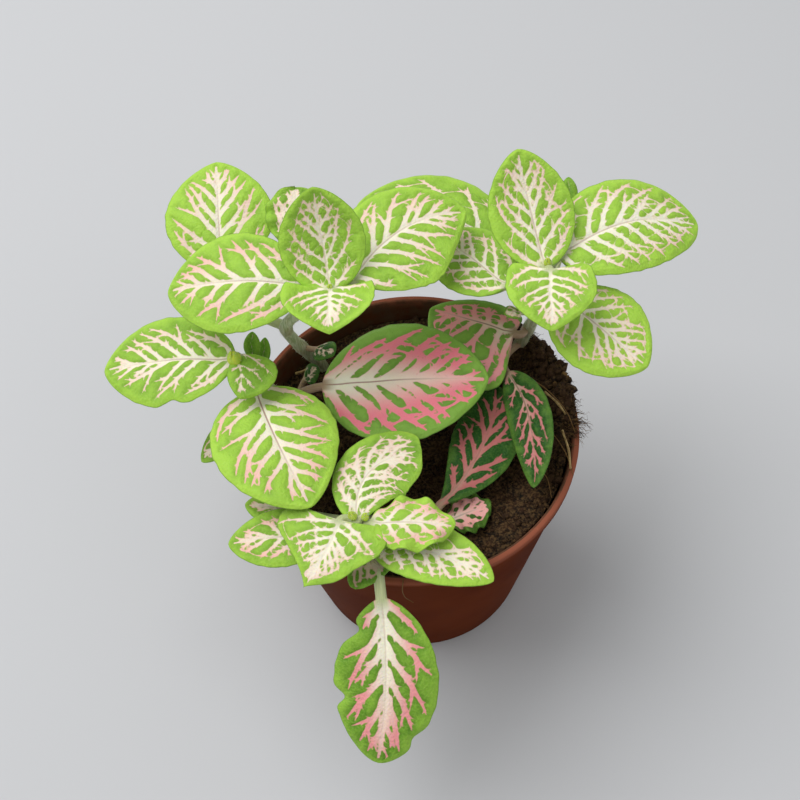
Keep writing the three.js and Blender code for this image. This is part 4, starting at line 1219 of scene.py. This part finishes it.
def add_peat_body(shape):
    """Adds the body of the peat: its side in the pot from the floor up, and its clodded surface inwards."""
    around = 300
    azimuth = np.linspace(0, 2 * np.pi, around, endpoint=False)
    shares = np.linspace(1, 0, 84)[:-1]
    top = soil_points(shares[:, None], np.broadcast_to(azimuth, (len(shares), around)))
    outer = top[0]
    reach = np.hypot(outer[:, 0], outer[:, 1])
    ways = outer[:, :2] / reach[:, None]
    hang = smoothstep(0.0, 0.4, soil_overhang(azimuth))

    def side_ring(radius, height):
        """A ring of points at a radius and a height, given as numbers or round the ring."""
        return np.concatenate([ways * np.broadcast_to(radius, around)[:, None],
                               np.broadcast_to(height, around)[:, None]], -1)

    edge_height = soil_edge(azimuth)
    inside = inner_radius(edge_height - GAP) - GAP - 0.05
    rings = np.stack([
        side_ring(inner_radius(FLOOR) - GAP, FLOOR + GAP),
        side_ring(inner_radius(SOIL_LOW_EDGE - 1) - GAP, SOIL_LOW_EDGE - 1),
        side_ring(inside, edge_height - GAP),
        side_ring(lerp(inside, reach - 0.3, hang), edge_height - GAP * (1 + 0.3 * hang)),
    ])
    shape.add_rings(np.concatenate([rings, top]), shade=0.0)


# ---- material helpers ----

class Nodes:
    """A short way to write a node tree: each call adds a node and links or sets its inputs."""

    def __init__(self, tree):
        self.tree = tree

    def add(self, kind, inputs=(), out=0, **settings):
        """Adds a node of a kind and returns its output socket."""
        node = self.tree.nodes.new(kind)
        for name, value in settings.items():
            setattr(node, name, value)
        for key, value in dict(inputs).items():
            self.put(node.inputs[key], value)
        return node.outputs[out]

    def put(self, socket, value):
        """Links a socket to an output, or sets its number or colour."""
        if isinstance(value, bpy.types.NodeSocket):
            self.tree.links.new(value, socket)
        else:
            socket.default_value = value

    def math(self, operation, a, b=0.0, c=0.0, clamp=False):
        """A sum, product, power and so on of up to three numbers."""
        return self.add("ShaderNodeMath", {0: a, 1: b, 2: c}, operation=operation, use_clamp=clamp)

    def ramp(self, value, low, high, start=0.0, end=1.0):
        """A value's place between low and high as a smooth S from start to end."""
        return self.add("ShaderNodeMapRange", {"Value": value, "From Min": low, "From Max": high,
                                               "To Min": start, "To Max": end},
                        interpolation_type="SMOOTHSTEP")

    def mix(self, share, a, b, blend="MIX"):
        """A colour between a and b."""
        node = self.tree.nodes.new("ShaderNodeMix")
        node.data_type = "RGBA"
        node.blend_type = blend
        self.put(node.inputs[0], share)
        self.put(node.inputs[6], a)
        self.put(node.inputs[7], b)
        return node.outputs[2]

    def attribute(self, name):
        """A per-point number of the mesh."""
        return self.add("ShaderNodeAttribute", out="Fac", attribute_name=name)

    def noise(self, place, scale, detail=3.0, rough=0.55):
        """Cloudy noise at a place."""
        return self.add("ShaderNodeTexNoise", {
            "Vector": place, "Scale": scale, "Detail": detail, "Roughness": rough}, out="Fac")


def new_group(name, inputs, outputs):
    """A shader node group with named sockets, and its Nodes, group input and group output."""
    tree = bpy.data.node_groups.new(name, "ShaderNodeTree")
    for key, kind, value in inputs:
        socket = tree.interface.new_socket(key, in_out="INPUT", socket_type=kind)
        if value is not None:
            socket.default_value = value
    for key, kind in outputs:
        tree.interface.new_socket(key, in_out="OUTPUT", socket_type=kind)
    return tree, Nodes(tree), tree.nodes.new("NodeGroupInput"), tree.nodes.new("NodeGroupOutput")


def use_group(nodes, tree, inputs):
    """Places a group with its own values and returns its outputs."""
    node = nodes.tree.nodes.new("ShaderNodeGroup")
    node.node_tree = tree
    for key, value in inputs.items():
        nodes.put(node.inputs[key], value)
    return node.outputs


def grain_group():
    """Fine grain shared by all finishes: a fleck mask, and a height for bumps."""
    found = bpy.data.node_groups.get("Fine grain")
    if found:
        return found
    tree, n, start, end = new_group(
        "Fine grain",
        [("Place", "NodeSocketVector", None), ("Scale", "NodeSocketFloat", 1000.0)],
        [("Fleck", "NodeSocketFloat"), ("Height", "NodeSocketFloat")])
    coarse = n.noise(start.outputs["Place"], start.outputs["Scale"], 4.0, 0.6)
    cells = n.add("ShaderNodeTexVoronoi", {"Vector": start.outputs["Place"], "Scale": start.outputs["Scale"]},
                  feature="SMOOTH_F1")
    n.put(end.inputs["Fleck"], n.ramp(coarse, 0.42, 0.62))
    n.put(end.inputs["Height"], n.math("MULTIPLY_ADD", cells, -0.6, coarse))
    return tree


def new_material(name):
    """A material with only its Principled shader and output."""
    material = bpy.data.materials.new(name)
    material.use_nodes = True
    tree = material.node_tree
    tree.nodes.clear()
    nodes = Nodes(tree)
    shader = tree.nodes.new("ShaderNodeBsdfPrincipled")
    output = tree.nodes.new("ShaderNodeOutputMaterial")
    tree.links.new(shader.outputs[0], output.inputs["Surface"])
    return material, nodes, shader


def grained_material(name, scale):
    """A new material with its nodes, its shader, the place in the object and the shared grain there."""
    material, n, shader = new_material(name)
    place = n.add("ShaderNodeTexCoord", out="Object")
    return material, n, shader, place, use_group(n, grain_group(), {"Place": place, "Scale": scale})


def finish_skin(n, shader, skin, grain, mask, rough, bump, plain=()):
    """Sets the skin's colour, its roughness (a start, and what the mask adds to it), its bumps (their
    strength, and their height in mm) and the shader's plain values."""
    start, change = rough
    strength, height = bump
    n.put(shader.inputs["Base Color"], skin)
    n.put(shader.inputs["Roughness"], n.math("MULTIPLY_ADD", mask, change, start))
    n.put(shader.inputs["Normal"], n.add("ShaderNodeBump", {
        "Height": grain["Height"], "Strength": strength, "Distance": height * MM}))
    for key, value in dict(plain).items():
        n.put(shader.inputs[key], value)


def leaf_material(name, colours):
    """Leaf skin. The veins' depth inside their edges, roughened by noise, is the mask between tissue
    and vein; veins run from white at the midrib to pink at their ends; a mauve line follows the
    midrib; the tissue is brighter towards the margin and mottled; the underside is pale. Each leaf's
    tone, partly its own and partly painted shade and light, sets its tissue's brightness, and a low tone
    darkens its veins as painted shade; the tissue is lighter mid-cell and darker beside the veins, partly
    its own colour and partly painted highlight on the bulges; brighter flecks are the skin's grain and
    painted glints on it."""
    material, n, shader = new_material(name)
    place = n.add("ShaderNodeUVMap", uv_map="blade")
    depth, edge, under = n.attribute("depth"), n.attribute("edge"), n.attribute("under")
    stalk, middle, along = n.attribute("stalk"), n.attribute("middle"), n.attribute("along")
    pink, hot, tone = n.attribute("pink"), n.attribute("hot"), n.attribute("tone")
    grain = use_group(n, grain_group(), {"Place": place, "Scale": 2.6})

    ragged = n.noise(place, 1.7, 2.0)
    ragged = n.math("MULTIPLY_ADD", ragged, 0.16, -0.08)
    mask = n.ramp(n.math("ADD", depth, ragged), -0.06, 0.08)

    mottle = n.noise(place, 0.35, 3.0)
    # each leaf's tone sets the tissue's brightness: partly its own tone, partly painted shade and light for
    # how the leaf lies
    bright = n.math("ADD", tone, n.math("MULTIPLY_ADD", mottle, 0.9, -0.45))
    bright = n.math("ADD", bright, n.ramp(edge, 0.3, 2.4, 0.12, -0.06))
    # lighter mid-cell and darker beside the veins: partly the tissue's own colour, partly painted highlight
    # on the bulges between veins
    cell = n.ramp(depth, -0.9, -0.1, 0.08, -0.1)
    bright = n.math("ADD", bright, cell, clamp=True)
    tissue = n.mix(bright, colours["shade"], colours["bright"])
    tissue = n.mix(n.ramp(edge, 0.0, 0.25, 0.6, 0.0), tissue, colours["rim"])
    # brighter flecks: the skin's own fine grain, and painted glints on it
    tissue = n.mix(n.math("MULTIPLY", grain["Fleck"], 0.14), tissue, colours["fleck"])

    far_colour = n.mix(hot, colours["vein_pale"], colours["vein_hot"])
    vein = n.mix(pink, colours["vein_white"], far_colour)
    vein = n.mix(n.ramp(depth, 0.02, 0.16, 0.35, 0.0), vein, far_colour)
    line = n.math("MULTIPLY", n.ramp(middle, 0.07, 0.2, 1.0, 0.0), n.ramp(along, 0.3, 0.85, 0.9, 0.15))
    vein = n.mix(n.math("MULTIPLY", line, n.attribute("line")), vein, colours["line"])
    # painted shade: the veins of leaves with a low tone are darkened, as on leaves that lie in shade
    vein_shade_share = n.ramp(tone, 0.0, 0.32, 0.75, 0.0)
    vein = n.mix(vein_shade_share, vein, n.mix(1.0, vein, colours["vein_shade"], "MULTIPLY"))
    top = n.mix(mask, tissue, vein)

    pale = n.mix(n.ramp(depth, -0.2, 0.2), colours["under"], colours["under_vein"])
    pale = n.mix(n.math("MULTIPLY", mottle, 0.3), pale, colours["shade"])
    skin = n.mix(n.ramp(under, 0.3, 0.7), top, pale)
    stripe = n.noise(n.add("ShaderNodeMapping", {"Vector": place, "Scale": (3, 0.15, 1)}), 2.0, 2.0)
    stem_skin = n.mix(stripe, colours["stalk"], colours["stalk_shade"])
    skin = n.mix(stalk, skin, stem_skin)
    finish_skin(n, shader, skin, grain, grain["Fleck"], (0.46, 0.12), (0.9, 0.18), {
        "Specular IOR Level": 0.2, "Subsurface Weight": 0.18, "Subsurface Radius": (0.8, 1.0, 0.3),
        "Subsurface Scale": 0.0006})
    return material


def stem_material(colours):
    """Stem skin: pale green with long streaks, browner at the nodes and the foot, and clear hairs."""
    material, n, shader, place, grain = grained_material("stem_skin", 2600.0)
    streak = n.noise(n.add("ShaderNodeMapping", {"Vector": place, "Scale": (3, 3, 0.35)}), 900.0, 3.0)
    skin = n.mix(n.ramp(streak, 0.35, 0.65), colours["green"], colours["pale"])
    foot = n.math("MULTIPLY", n.ramp(n.attribute("along"), 0.15, 0.6, 0.6, 0.0), n.noise(place, 500.0))
    skin = n.mix(foot, skin, colours["brown"])
    skin = n.mix(n.math("MULTIPLY", n.attribute("node"), 0.35), skin, colours["node"])
    skin = n.mix(n.attribute("hair"), skin, colours["hair"])
    finish_skin(n, shader, skin, grain, grain["Fleck"], (0.48, 0.12), (0.4, 0.06), {
        "Subsurface Weight": 0.15, "Subsurface Scale": 0.0006})
    return material


def bud_material(colours):
    """Bud scales: yellow-green, darker along the middle of each scale, with pale hairs."""
    material, n, shader, place, grain = grained_material("bud_skin", 3200.0)
    skin = n.mix(n.ramp(n.attribute("rib"), 0.0, 0.5), colours["bud_dark"], colours["bud"])
    skin = n.mix(n.math("MULTIPLY", n.noise(place, 1500.0), 0.5), skin, colours["bud_dark"])
    skin = n.mix(n.attribute("hair"), skin, colours["hair"])
    finish_skin(n, shader, skin, grain, grain["Fleck"], (0.45, 0.1), (0.4, 0.06), {
        "Subsurface Weight": 0.2, "Subsurface Scale": 0.0005})
    return material


def peat_material(colours):
    """Moist peat: near-black ground, brown crumbs and straw-coloured fibres by each point's shade."""
    material, n, shader, place, grain = grained_material("moist_peat", 1800.0)
    ground = n.mix(n.ramp(n.noise(place, 420.0, 5.0, 0.65), 0.35, 0.7), colours["dark"], colours["brown"])
    ground = n.mix(n.math("MULTIPLY", grain["Fleck"], 0.35), ground, colours["fibre"])
    shade = n.attribute("shade")
    skin = n.mix(n.ramp(shade, 0.0, 0.5), ground, colours["brown"])
    skin = n.mix(n.ramp(shade, 0.5, 1.0), skin, colours["fibre"])
    finish_skin(n, shader, skin, grain, grain["Fleck"], (0.95, -0.15), (0.9, 0.25), {
        "Specular IOR Level": 0.25})
    return material


def pot_material(colours):
    """Moulded plastic: an even terracotta colour with faint clouds, fine scuffs that gather at the rim,
    where they also serve as a painted highlight, a lip painted paler towards its top as a painted
    highlight, peat dust on the inner wall and slight moulding texture."""
    material, n, shader, place, grain = grained_material("terracotta_plastic", 1500.0)
    height = n.add("ShaderNodeSeparateXYZ", {0: place}, out=2)
    skin = n.mix(n.ramp(n.noise(place, 45.0, 4.0), 0.35, 0.65), colours["plastic"], colours["worn"])
    scuff_place = n.add("ShaderNodeMapping", {"Vector": place, "Scale": (1, 1, 6)})
    scuff_and_rim_highlight = n.ramp(n.noise(scuff_place, 260.0, 6.0, 0.7), 0.6, 0.72)
    # painted highlight: the scuffs grow denser towards the top of the rim, partly real wear and partly a
    # painted highlight on the lit rim
    rim = n.ramp(height, (POT_HEIGHT - 4) * MM, POT_HEIGHT * MM, 0.08, 0.6)
    skin = n.mix(n.math("MULTIPLY", scuff_and_rim_highlight, rim), skin, colours["scuff_and_rim_highlight"])
    # painted highlight: the lip is painted paler towards its top edge
    lip = n.ramp(height, (LIP_BOTTOM + 0.4) * MM, (POT_HEIGHT - 0.2) * MM, 0.0, 0.42)
    skin = n.mix(lip, skin, colours["lip"])
    dust = n.ramp(n.noise(place, 120.0, 5.0, 0.7), 0.55, 0.75, 0.0, 0.3)
    skin = n.mix(dust, skin, colours["dust"])
    # peat dust clings to the inner wall: the points nearer the axis than the middle of the wall
    across = n.add("ShaderNodeVectorMath", {0: place, 1: (1, 1, 0)}, operation="MULTIPLY")
    radius = n.add("ShaderNodeVectorMath", {0: across}, out=1, operation="LENGTH")
    taper = (RIM_RADIUS - LIP_STEP - BASE_RADIUS) / LIP_BOTTOM
    middle = n.math("MULTIPLY_ADD", height, taper, (BASE_RADIUS - WALL / 2) * MM)
    inside = n.math("LESS_THAN", radius, middle)
    clinging = n.ramp(n.noise(place, 300.0, 5.0, 0.7), 0.32, 0.62, 0.35, 0.95)
    skin = n.mix(n.math("MULTIPLY", inside, clinging), skin, colours["inner_dust"])
    finish_skin(n, shader, skin, grain, scuff_and_rim_highlight, (0.46, 0.15), (0.12, 0.05), {"Specular IOR Level": 0.003})
    return material


def straw_material(colours):
    """Dry straw: pale with long darker streaks."""
    material, n, shader, place, grain = grained_material("dry_straw", 2500.0)
    streak = n.ramp(n.noise(place, 1300.0, 4.0), 0.35, 0.7)
    skin = n.mix(streak, colours["straw"], colours["straw_dark"])
    finish_skin(n, shader, skin, grain, grain["Fleck"], (0.6, 0.15), (0.5, 0.08))
    return material


# ---- settings ----

def size_setting(name, description, millimetres):
    """A length property, which Blender holds in metres."""
    return bpy.props.FloatProperty(
        name=name, description=description, default=millimetres * MM, min=0, unit="LENGTH", precision=5)


def in_millimetres(settings):
    """The lengths of a group of settings in millimetres, by name."""
    return {key: getattr(settings, key) / MM for key, kept in settings.bl_rna.properties.items()
            if kept.type == "FLOAT" and kept.unit == "LENGTH"}


def colour(name, description, default):
    """A colour property."""
    return bpy.props.FloatVectorProperty(
        name=name, description=description, subtype="COLOR", size=4, min=0, max=1, default=default)


def colours_of(settings, *names):
    """Named colours of a group of settings."""
    return {name: tuple(getattr(settings, name)) for name in names}


class NervePlantLeaves(bpy.types.PropertyGroup):
    """Fineness, thickness and colours of the leaves"""
    grid: size_setting("Grid", "Spacing of a leaf's points", 0.17)
    thickness: size_setting("Thickness", "Thickness of a blade", 0.32)
    relief: size_setting("Relief", "How far the tissue rises between veins", 0.3)
    swell: size_setting("Swell", "Height of a blade's gentle swells", 0.22)
    droop: bpy.props.FloatProperty(
        name="Droop", description="How far the margins turn down, as a share of the half width",
        default=0.07, min=0, max=0.5, subtype="FACTOR")
    bright: colour("Lime", "Tissue of the lime leaves in the light", srgb(174, 219, 78))
    shade: colour("Lime shade", "Tissue of the lime leaves where it is darkest", srgb(92, 142, 34))
    dark_bright: colour("Dark leaf", "Tissue of the pink-veined leaves in the light", srgb(136, 180, 72))
    dark_shade: colour("Dark leaf shade", "Tissue of the pink-veined leaves where darkest", srgb(30, 78, 18))
    vein_white: colour("Vein white", "Veins near the midrib", srgb(254, 250, 226))
    vein_pale: colour("Vein pink", "Ends of the lime leaves' veins", srgb(252, 186, 176))
    vein_hot: colour("Vein rose", "Ends of the pink-veined leaves' veins", srgb(244, 118, 142))
    line: colour("Midrib line", "The line along the midrib", srgb(168, 122, 112))
    under: colour("Underside", "Underside of a blade", srgb(158, 186, 116))


class NervePlantStems(bpy.types.PropertyGroup):
    """Hairs and colours of the stems and buds"""
    hairs: bpy.props.FloatProperty(
        name="Hairs", description="Hairs per millimetre of stem", default=10, min=0, subtype="UNSIGNED")
    hair_length: size_setting("Hair length", "Length of a stem's hairs", 0.45)
    bud_hairs: bpy.props.IntProperty(name="Bud hairs", description="Hairs on a bud", default=90)
    green: colour("Green", "Stem skin", srgb(166, 178, 128))
    pale: colour("Pale", "Pale streaks of the stem", srgb(212, 218, 186))
    bud: colour("Bud", "Bud scales", srgb(214, 232, 80))


class NervePlantPot(bpy.types.PropertyGroup):
    """Fineness and colour of the pot"""
    steps: bpy.props.IntProperty(name="Steps", description="Facets round the pot", default=192, min=24)
    plastic: colour("Plastic", "The pot's own colour", srgb(86, 34, 11))


class NervePlantPeat(bpy.types.PropertyGroup):
    """Loose bits and colours of the peat"""
    crumbs: bpy.props.IntProperty(name="Crumbs", description="Loose crumbs on the peat", default=2600)
    fibres: bpy.props.IntProperty(name="Fibres", description="Fibres on the peat", default=900)
    dark: colour("Dark", "Moist peat", srgb(13, 9, 6))
    brown: colour("Brown", "Drier crumbs", srgb(60, 39, 23))
    fibre: colour("Fibre", "Fibres and straw", srgb(134, 102, 60))


class NervePlantStage(bpy.types.PropertyGroup):
    """Floor and light"""
    floor: colour("Floor", "The plain floor", srgb(205, 206, 208))
    sky: bpy.props.FloatProperty(
        name="Sky", description="Strength of the even light", default=0.42, min=0, soft_max=1,
        subtype="FACTOR")
    key: bpy.props.FloatProperty(
        name="Key", description="Power of the soft key light", default=5.6, min=0, unit="POWER")


# ---- operators ----

def shoot_leaves():
    """Every leaf with its stem, in order."""
    return [(name, leaf, stem) for stem in SHOOTS.values() for name, leaf in stem["leaves"].items()]


def place_object(name, data, right, up, back, place):
    """Adds an object to the scene at a place in metres, turned so that it looks away from back."""
    placed = bpy.data.objects.new(name, data)
    bpy.context.scene.collection.objects.link(placed)
    turn = np.eye(4)
    turn[:3, :4] = np.stack([right, up, back, place], 1)
    placed.matrix_world = Matrix(turn.tolist())
    return placed


class NERVEPLANT_OT_pot(bpy.types.Operator):
    """Builds the pot: its outline turned about the axis, with the drain holes cut through the floor"""
    bl_idname = "nerveplant.pot"
    bl_label = "Pot"

    def execute(self, context):
        settings = context.scene.nerveplant_pot
        outline = pot_outline()
        spin = np.linspace(0, 2 * np.pi, settings.steps, endpoint=False)
        rings = np.stack([outline[:, :1] * np.cos(spin), outline[:, :1] * np.sin(spin),
                          np.broadcast_to(outline[:, 1:], (len(outline), settings.steps))], -1)
        shape = Shape()
        shape.add_rings(rings)
        material = pot_material({
            # the scuff colour here and the lip colour below also paint the rim's highlight, besides real wear
            **colours_of(settings, "plastic"), "worn": srgb(100, 44, 18), "scuff_and_rim_highlight": srgb(170, 104, 80),
            "lip": srgb(196, 122, 98), "dust": srgb(84, 46, 30), "inner_dust": srgb(88, 64, 48)})
        pot = shape.build("pot_shell", material, "pot_plastic", ["pot"])
        drill = Shape()
        for azimuth in np.arange(DRAIN_HOLES) * 2 * math.pi / DRAIN_HOLES:
            centre = np.array([DRAIN_CIRCLE * math.cos(azimuth), DRAIN_CIRCLE * math.sin(azimuth), 0])
            ends = centre + np.array([[0, 0, z] for z in DRILL_REACH])
            drill.add_rings(tube(ends, DRAIN_RADIUS, DRILL_SIDES, (1, 0, 0)))
        drill_mesh, _ = drill.mesh("drill")
        drill_mesh.shade_flat()
        cutter = bpy.data.objects.new("drill", drill_mesh)
        context.scene.collection.objects.link(cutter)
        cut = pot.modifiers.new("drain holes", "BOOLEAN")
        cut.object, cut.operation, cut.solver = cutter, "DIFFERENCE", "EXACT"
        context.view_layer.update()
        cut_mesh = bpy.data.meshes.new_from_object(pot.evaluated_get(context.evaluated_depsgraph_get()))
        pot.modifiers.clear()
        pot.data = cut_mesh
        bpy.data.objects.remove(cutter)
        return {"FINISHED"}


class NERVEPLANT_OT_peat(bpy.types.Operator):
    """Builds the peat: its clodded surface, the side in the pot, loose crumbs and fibres"""
    bl_idname = "nerveplant.peat"
    bl_label = "Peat"

    def execute(self, context):
        settings = context.scene.nerveplant_peat
        rng = np.random.default_rng(SEED)
        shape, strands = Shape(), Shape()
        add_peat_body(shape)

        count = settings.crumbs
        share = np.sqrt(rng.uniform(0.02, 1.0, count))
        angle = rng.uniform(0, 2 * np.pi, count)
        sizes = rng.lognormal(-1.15, 0.42, count).clip(0.12, 0.85)
        centres = soil_points(share, angle)
        centres[:, 2] += sizes * rng.uniform(-0.35, 0.35, count)
        shade = rng.beta(*CRUMB_SHADE, count)
        large = sizes > LARGE_CRUMB
        for some, fine in ((large, True), (~large, False)):
            add_crumbs(shape, centres[some], sizes[some], rng, fine, shade=shade[some])

        count = settings.fibres
        share = np.sqrt(rng.uniform(0.05, 1.0, count))
        angle = rng.uniform(0, 2 * np.pi, count)
        starts = soil_points(share, angle)
        starts[:, 2] += 0.1
        ways = unit(np.stack([
            rng.normal(size=count), rng.normal(size=count), rng.normal(0.12, 0.25, count)], -1))
        lengths = rng.uniform(1.5, 6.0, count) * (1.15 - 0.9 * share**3)
        add_fibres(strands, starts, ways, lengths, rng.uniform(0.04, 0.1, count), rng, 0.1,
                   rng.beta(2, 2, count))

        angle = math.radians(SOIL_HEAP_AZIMUTH) + rng.normal(0, math.radians(20), HEAP_CLODS)
        centres = soil_points(rng.uniform(0.86, 1.0, HEAP_CLODS), angle)
        centres[:, 2] += rng.uniform(-0.3, 0.35, HEAP_CLODS)
        add_crumbs(shape, centres, rng.uniform(0.4, 1.05, HEAP_CLODS), rng, True,
                   shade=rng.beta(*CRUMB_SHADE, HEAP_CLODS))
        for fringe in FRINGES:
            add_fringe(strands, rng, **fringe)
        for thread in THREADS:
            centres = smooth_path(thread, THREAD_RINGS)
            radii = np.linspace(*THREAD_RADII, THREAD_RINGS)
            strands.add_rings(tube(centres, radii, 6, (1, 0, 0)), shade=0.85)
        material = peat_material(colours_of(settings, "dark", "brown", "fibre"))
        shape.build("peat_bed", material, "peat", ["soil"])
        strands.build("peat_fibres", material, "peat", ["soil"])
        return {"FINISHED"}


class NERVEPLANT_OT_stems(bpy.types.Operator):
    """Builds the five stems with their nodes and hairs"""
    bl_idname = "nerveplant.stems"
    bl_label = "Stems"

    def execute(self, context):
        settings = context.scene.nerveplant_stems
        material = stem_material({
            **colours_of(settings, "green", "pale"), "brown": srgb(120, 92, 62),
            "node": srgb(150, 128, 92), "hair": srgb(222, 226, 200)})
        for seed, (name, stem) in enumerate(SHOOTS.items()):
            shape = Shape()
            add_stem(shape, stem, settings, seed)
            shape.build(f"{name}_skin", material, "stem", [name])
        return {"FINISHED"}


class NERVEPLANT_OT_leaves(bpy.types.Operator):
    """Builds every leaf with its petiole and its own veins"""
    bl_idname = "nerveplant.leaves"
    bl_label = "Leaves"

    def execute(self, context):
        settings = context.scene.nerveplant_leaves
        shared = {
            **colours_of(settings, "vein_white", "vein_pale", "vein_hot", "line", "under"),
            # the second colour on the next line darkens the veins of low-toned leaves: painted shade
            "under_vein": srgb(206, 216, 172), "vein_shade": srgb(174, 158, 138),
            "stalk": srgb(222, 228, 178), "stalk_shade": srgb(170, 182, 128),
        }
        lime = leaf_material("lime_leaf_skin", {
            **shared, **colours_of(settings, "bright", "shade"),
            "rim": srgb(98, 152, 44), "fleck": srgb(196, 230, 110)})
        dark = leaf_material("dark_leaf_skin", {
            **shared, "bright": tuple(settings.dark_bright), "shade": tuple(settings.dark_shade),
            "rim": srgb(44, 96, 28), "fleck": srgb(120, 166, 74),
            "stalk": srgb(196, 166, 140), "stalk_shade": srgb(146, 122, 94)})
        sizes = in_millimetres(settings)
        for seed, (name, leaf, stem) in enumerate(shoot_leaves()):
            shape = Shape()
            add_leaf(shape, leaf, stem, sizes, settings.droop, seed)
            material, kind = (dark, "dark_leaf") if leaf.get("dark") else (lime, "lime_leaf")
            shape.build(f"{name}_blade", material, kind, [name])
        return {"FINISHED"}


class NERVEPLANT_OT_buds(bpy.types.Operator):
    """Builds the folded buds at the crowns"""
    bl_idname = "nerveplant.buds"
    bl_label = "Buds"

    def execute(self, context):
        settings = context.scene.nerveplant_stems
        material = bud_material({
            **colours_of(settings, "bud"), "bud_dark": srgb(186, 214, 64), "hair": srgb(238, 240, 226)})
        for seed, (name, bud) in enumerate(BUDS.items()):
            shape = Shape()
            add_bud(shape, bud, settings, seed)
            shape.build(f"{name}_scales", material, "bud", [name])
        return {"FINISHED"}


class NERVEPLANT_OT_straws(bpy.types.Operator):
    """Builds the bits of straw that lie in the peat"""
    bl_idname = "nerveplant.straws"
    bl_label = "Straw"

    def execute(self, context):
        material = straw_material({"straw": srgb(196, 168, 112), "straw_dark": srgb(128, 98, 58)})
        for seed, (name, straw) in enumerate(STRAWS.items()):
            shape = Shape()
            add_straw(shape, straw, seed)
            shape.build(f"{name}_stick", material, "straw", [name])
        return {"FINISHED"}


class NERVEPLANT_OT_stage(bpy.types.Operator):
    """Sets the plain floor, the soft light and the camera at the photo's viewpoint"""
    bl_idname = "nerveplant.stage"
    bl_label = "Stage"

    def execute(self, context):
        settings = context.scene.nerveplant_stage
        scene = context.scene
        corners = [(x * FLOOR_REACH, y * FLOOR_REACH, 0) for x, y in ((-1, -1), (1, -1), (1, 1), (-1, 1))]
        mesh = bpy.data.meshes.new("floor")
        mesh.from_pydata(corners, [], [(0, 1, 2, 3)])
        floor = bpy.data.objects.new("floor", mesh)
        scene.collection.objects.link(floor)
        material, _, shader = new_material("plain_floor")
        shader.inputs["Base Color"].default_value = tuple(settings.floor)
        shader.inputs["Roughness"].default_value = 0.85
        mesh.materials.append(material)

        world = bpy.data.worlds.new("soft_sky")
        world.use_nodes = True
        sky = world.node_tree.nodes["Background"].inputs
        sky["Color"].default_value, sky["Strength"].default_value = SKY_COLOUR, settings.sky
        scene.world = world
        for name, (place, size, share) in LAMPS.items():
            lamp = bpy.data.lights.new(name, "AREA")
            lamp.size, lamp.energy = size, settings.key * share
            back = unit(np.array(place) - np.array(LAMP_TARGET))
            side = unit(np.cross([0, 0, 1.0], back))
            place_object(name, lamp, side, np.cross(back, side), back, place)

        lift, roll = math.radians(CAMERA_ELEVATION), math.radians(CAMERA_ROLL)
        back = np.array([0, -math.cos(lift), math.sin(lift)])
        level = np.array([1.0, 0, 0])
        high = np.cross(back, level)
        right = math.cos(roll) * level + math.sin(roll) * high
        up = math.cos(roll) * high - math.sin(roll) * level
        lens = bpy.data.cameras.new("photo_view")
        lens.lens, lens.sensor_width = CAMERA_LENS, SENSOR
        lens.clip_start, lens.clip_end = CAMERA_CLIP
        scene.camera = place_object("photo_view", lens, right, up, back, np.array(CAMERA_PLACE) * MM)
        scene.view_settings.view_transform = "Standard"
        return {"FINISHED"}


class NERVEPLANT_PT_panel(bpy.types.Panel):
    """Lists the steps that build the plant"""
    bl_idname = "NERVEPLANT_PT_panel"
    bl_label = "Nerve Plant"
    bl_space_type = "VIEW_3D"
    bl_region_type = "UI"
    bl_category = "Nerve Plant"

    def draw(self, context):
        for key, (_, *operators) in PARTS.items():
            box = self.layout.box()
            settings = getattr(context.scene, key)
            for name in settings.__annotations__:
                box.prop(settings, name)
            for operator in operators:
                box.operator(operator.bl_idname)


PARTS = {
    "nerveplant_pot": (NervePlantPot, NERVEPLANT_OT_pot),
    "nerveplant_peat": (NervePlantPeat, NERVEPLANT_OT_peat, NERVEPLANT_OT_straws),
    "nerveplant_stems": (NervePlantStems, NERVEPLANT_OT_stems, NERVEPLANT_OT_buds),
    "nerveplant_leaves": (NervePlantLeaves, NERVEPLANT_OT_leaves),
    "nerveplant_stage": (NervePlantStage, NERVEPLANT_OT_stage),
}


def register():
    """Registers the settings, the operators and the panel."""
    for key, (kind, *operators) in PARTS.items():
        bpy.utils.register_class(kind)
        setattr(bpy.types.Scene, key, bpy.props.PointerProperty(type=kind))
        for operator in operators:
            bpy.utils.register_class(operator)
    bpy.utils.register_class(NERVEPLANT_PT_panel)


def unregister():
    """Takes back all that register() added."""
    bpy.utils.unregister_class(NERVEPLANT_PT_panel)
    for key, (kind, *operators) in PARTS.items():
        for operator in operators:
            bpy.utils.unregister_class(operator)
        delattr(bpy.types.Scene, key)
        bpy.utils.unregister_class(kind)


def main():
    """Builds everything in order."""
    register()
    bpy.ops.nerveplant.stage()
    bpy.ops.nerveplant.pot()
    bpy.ops.nerveplant.peat()
    bpy.ops.nerveplant.straws()
    bpy.ops.nerveplant.stems()
    bpy.ops.nerveplant.leaves()
    bpy.ops.nerveplant.buds()
    bpy.context.view_layer.update()


if __name__ == "__main__":
    main()
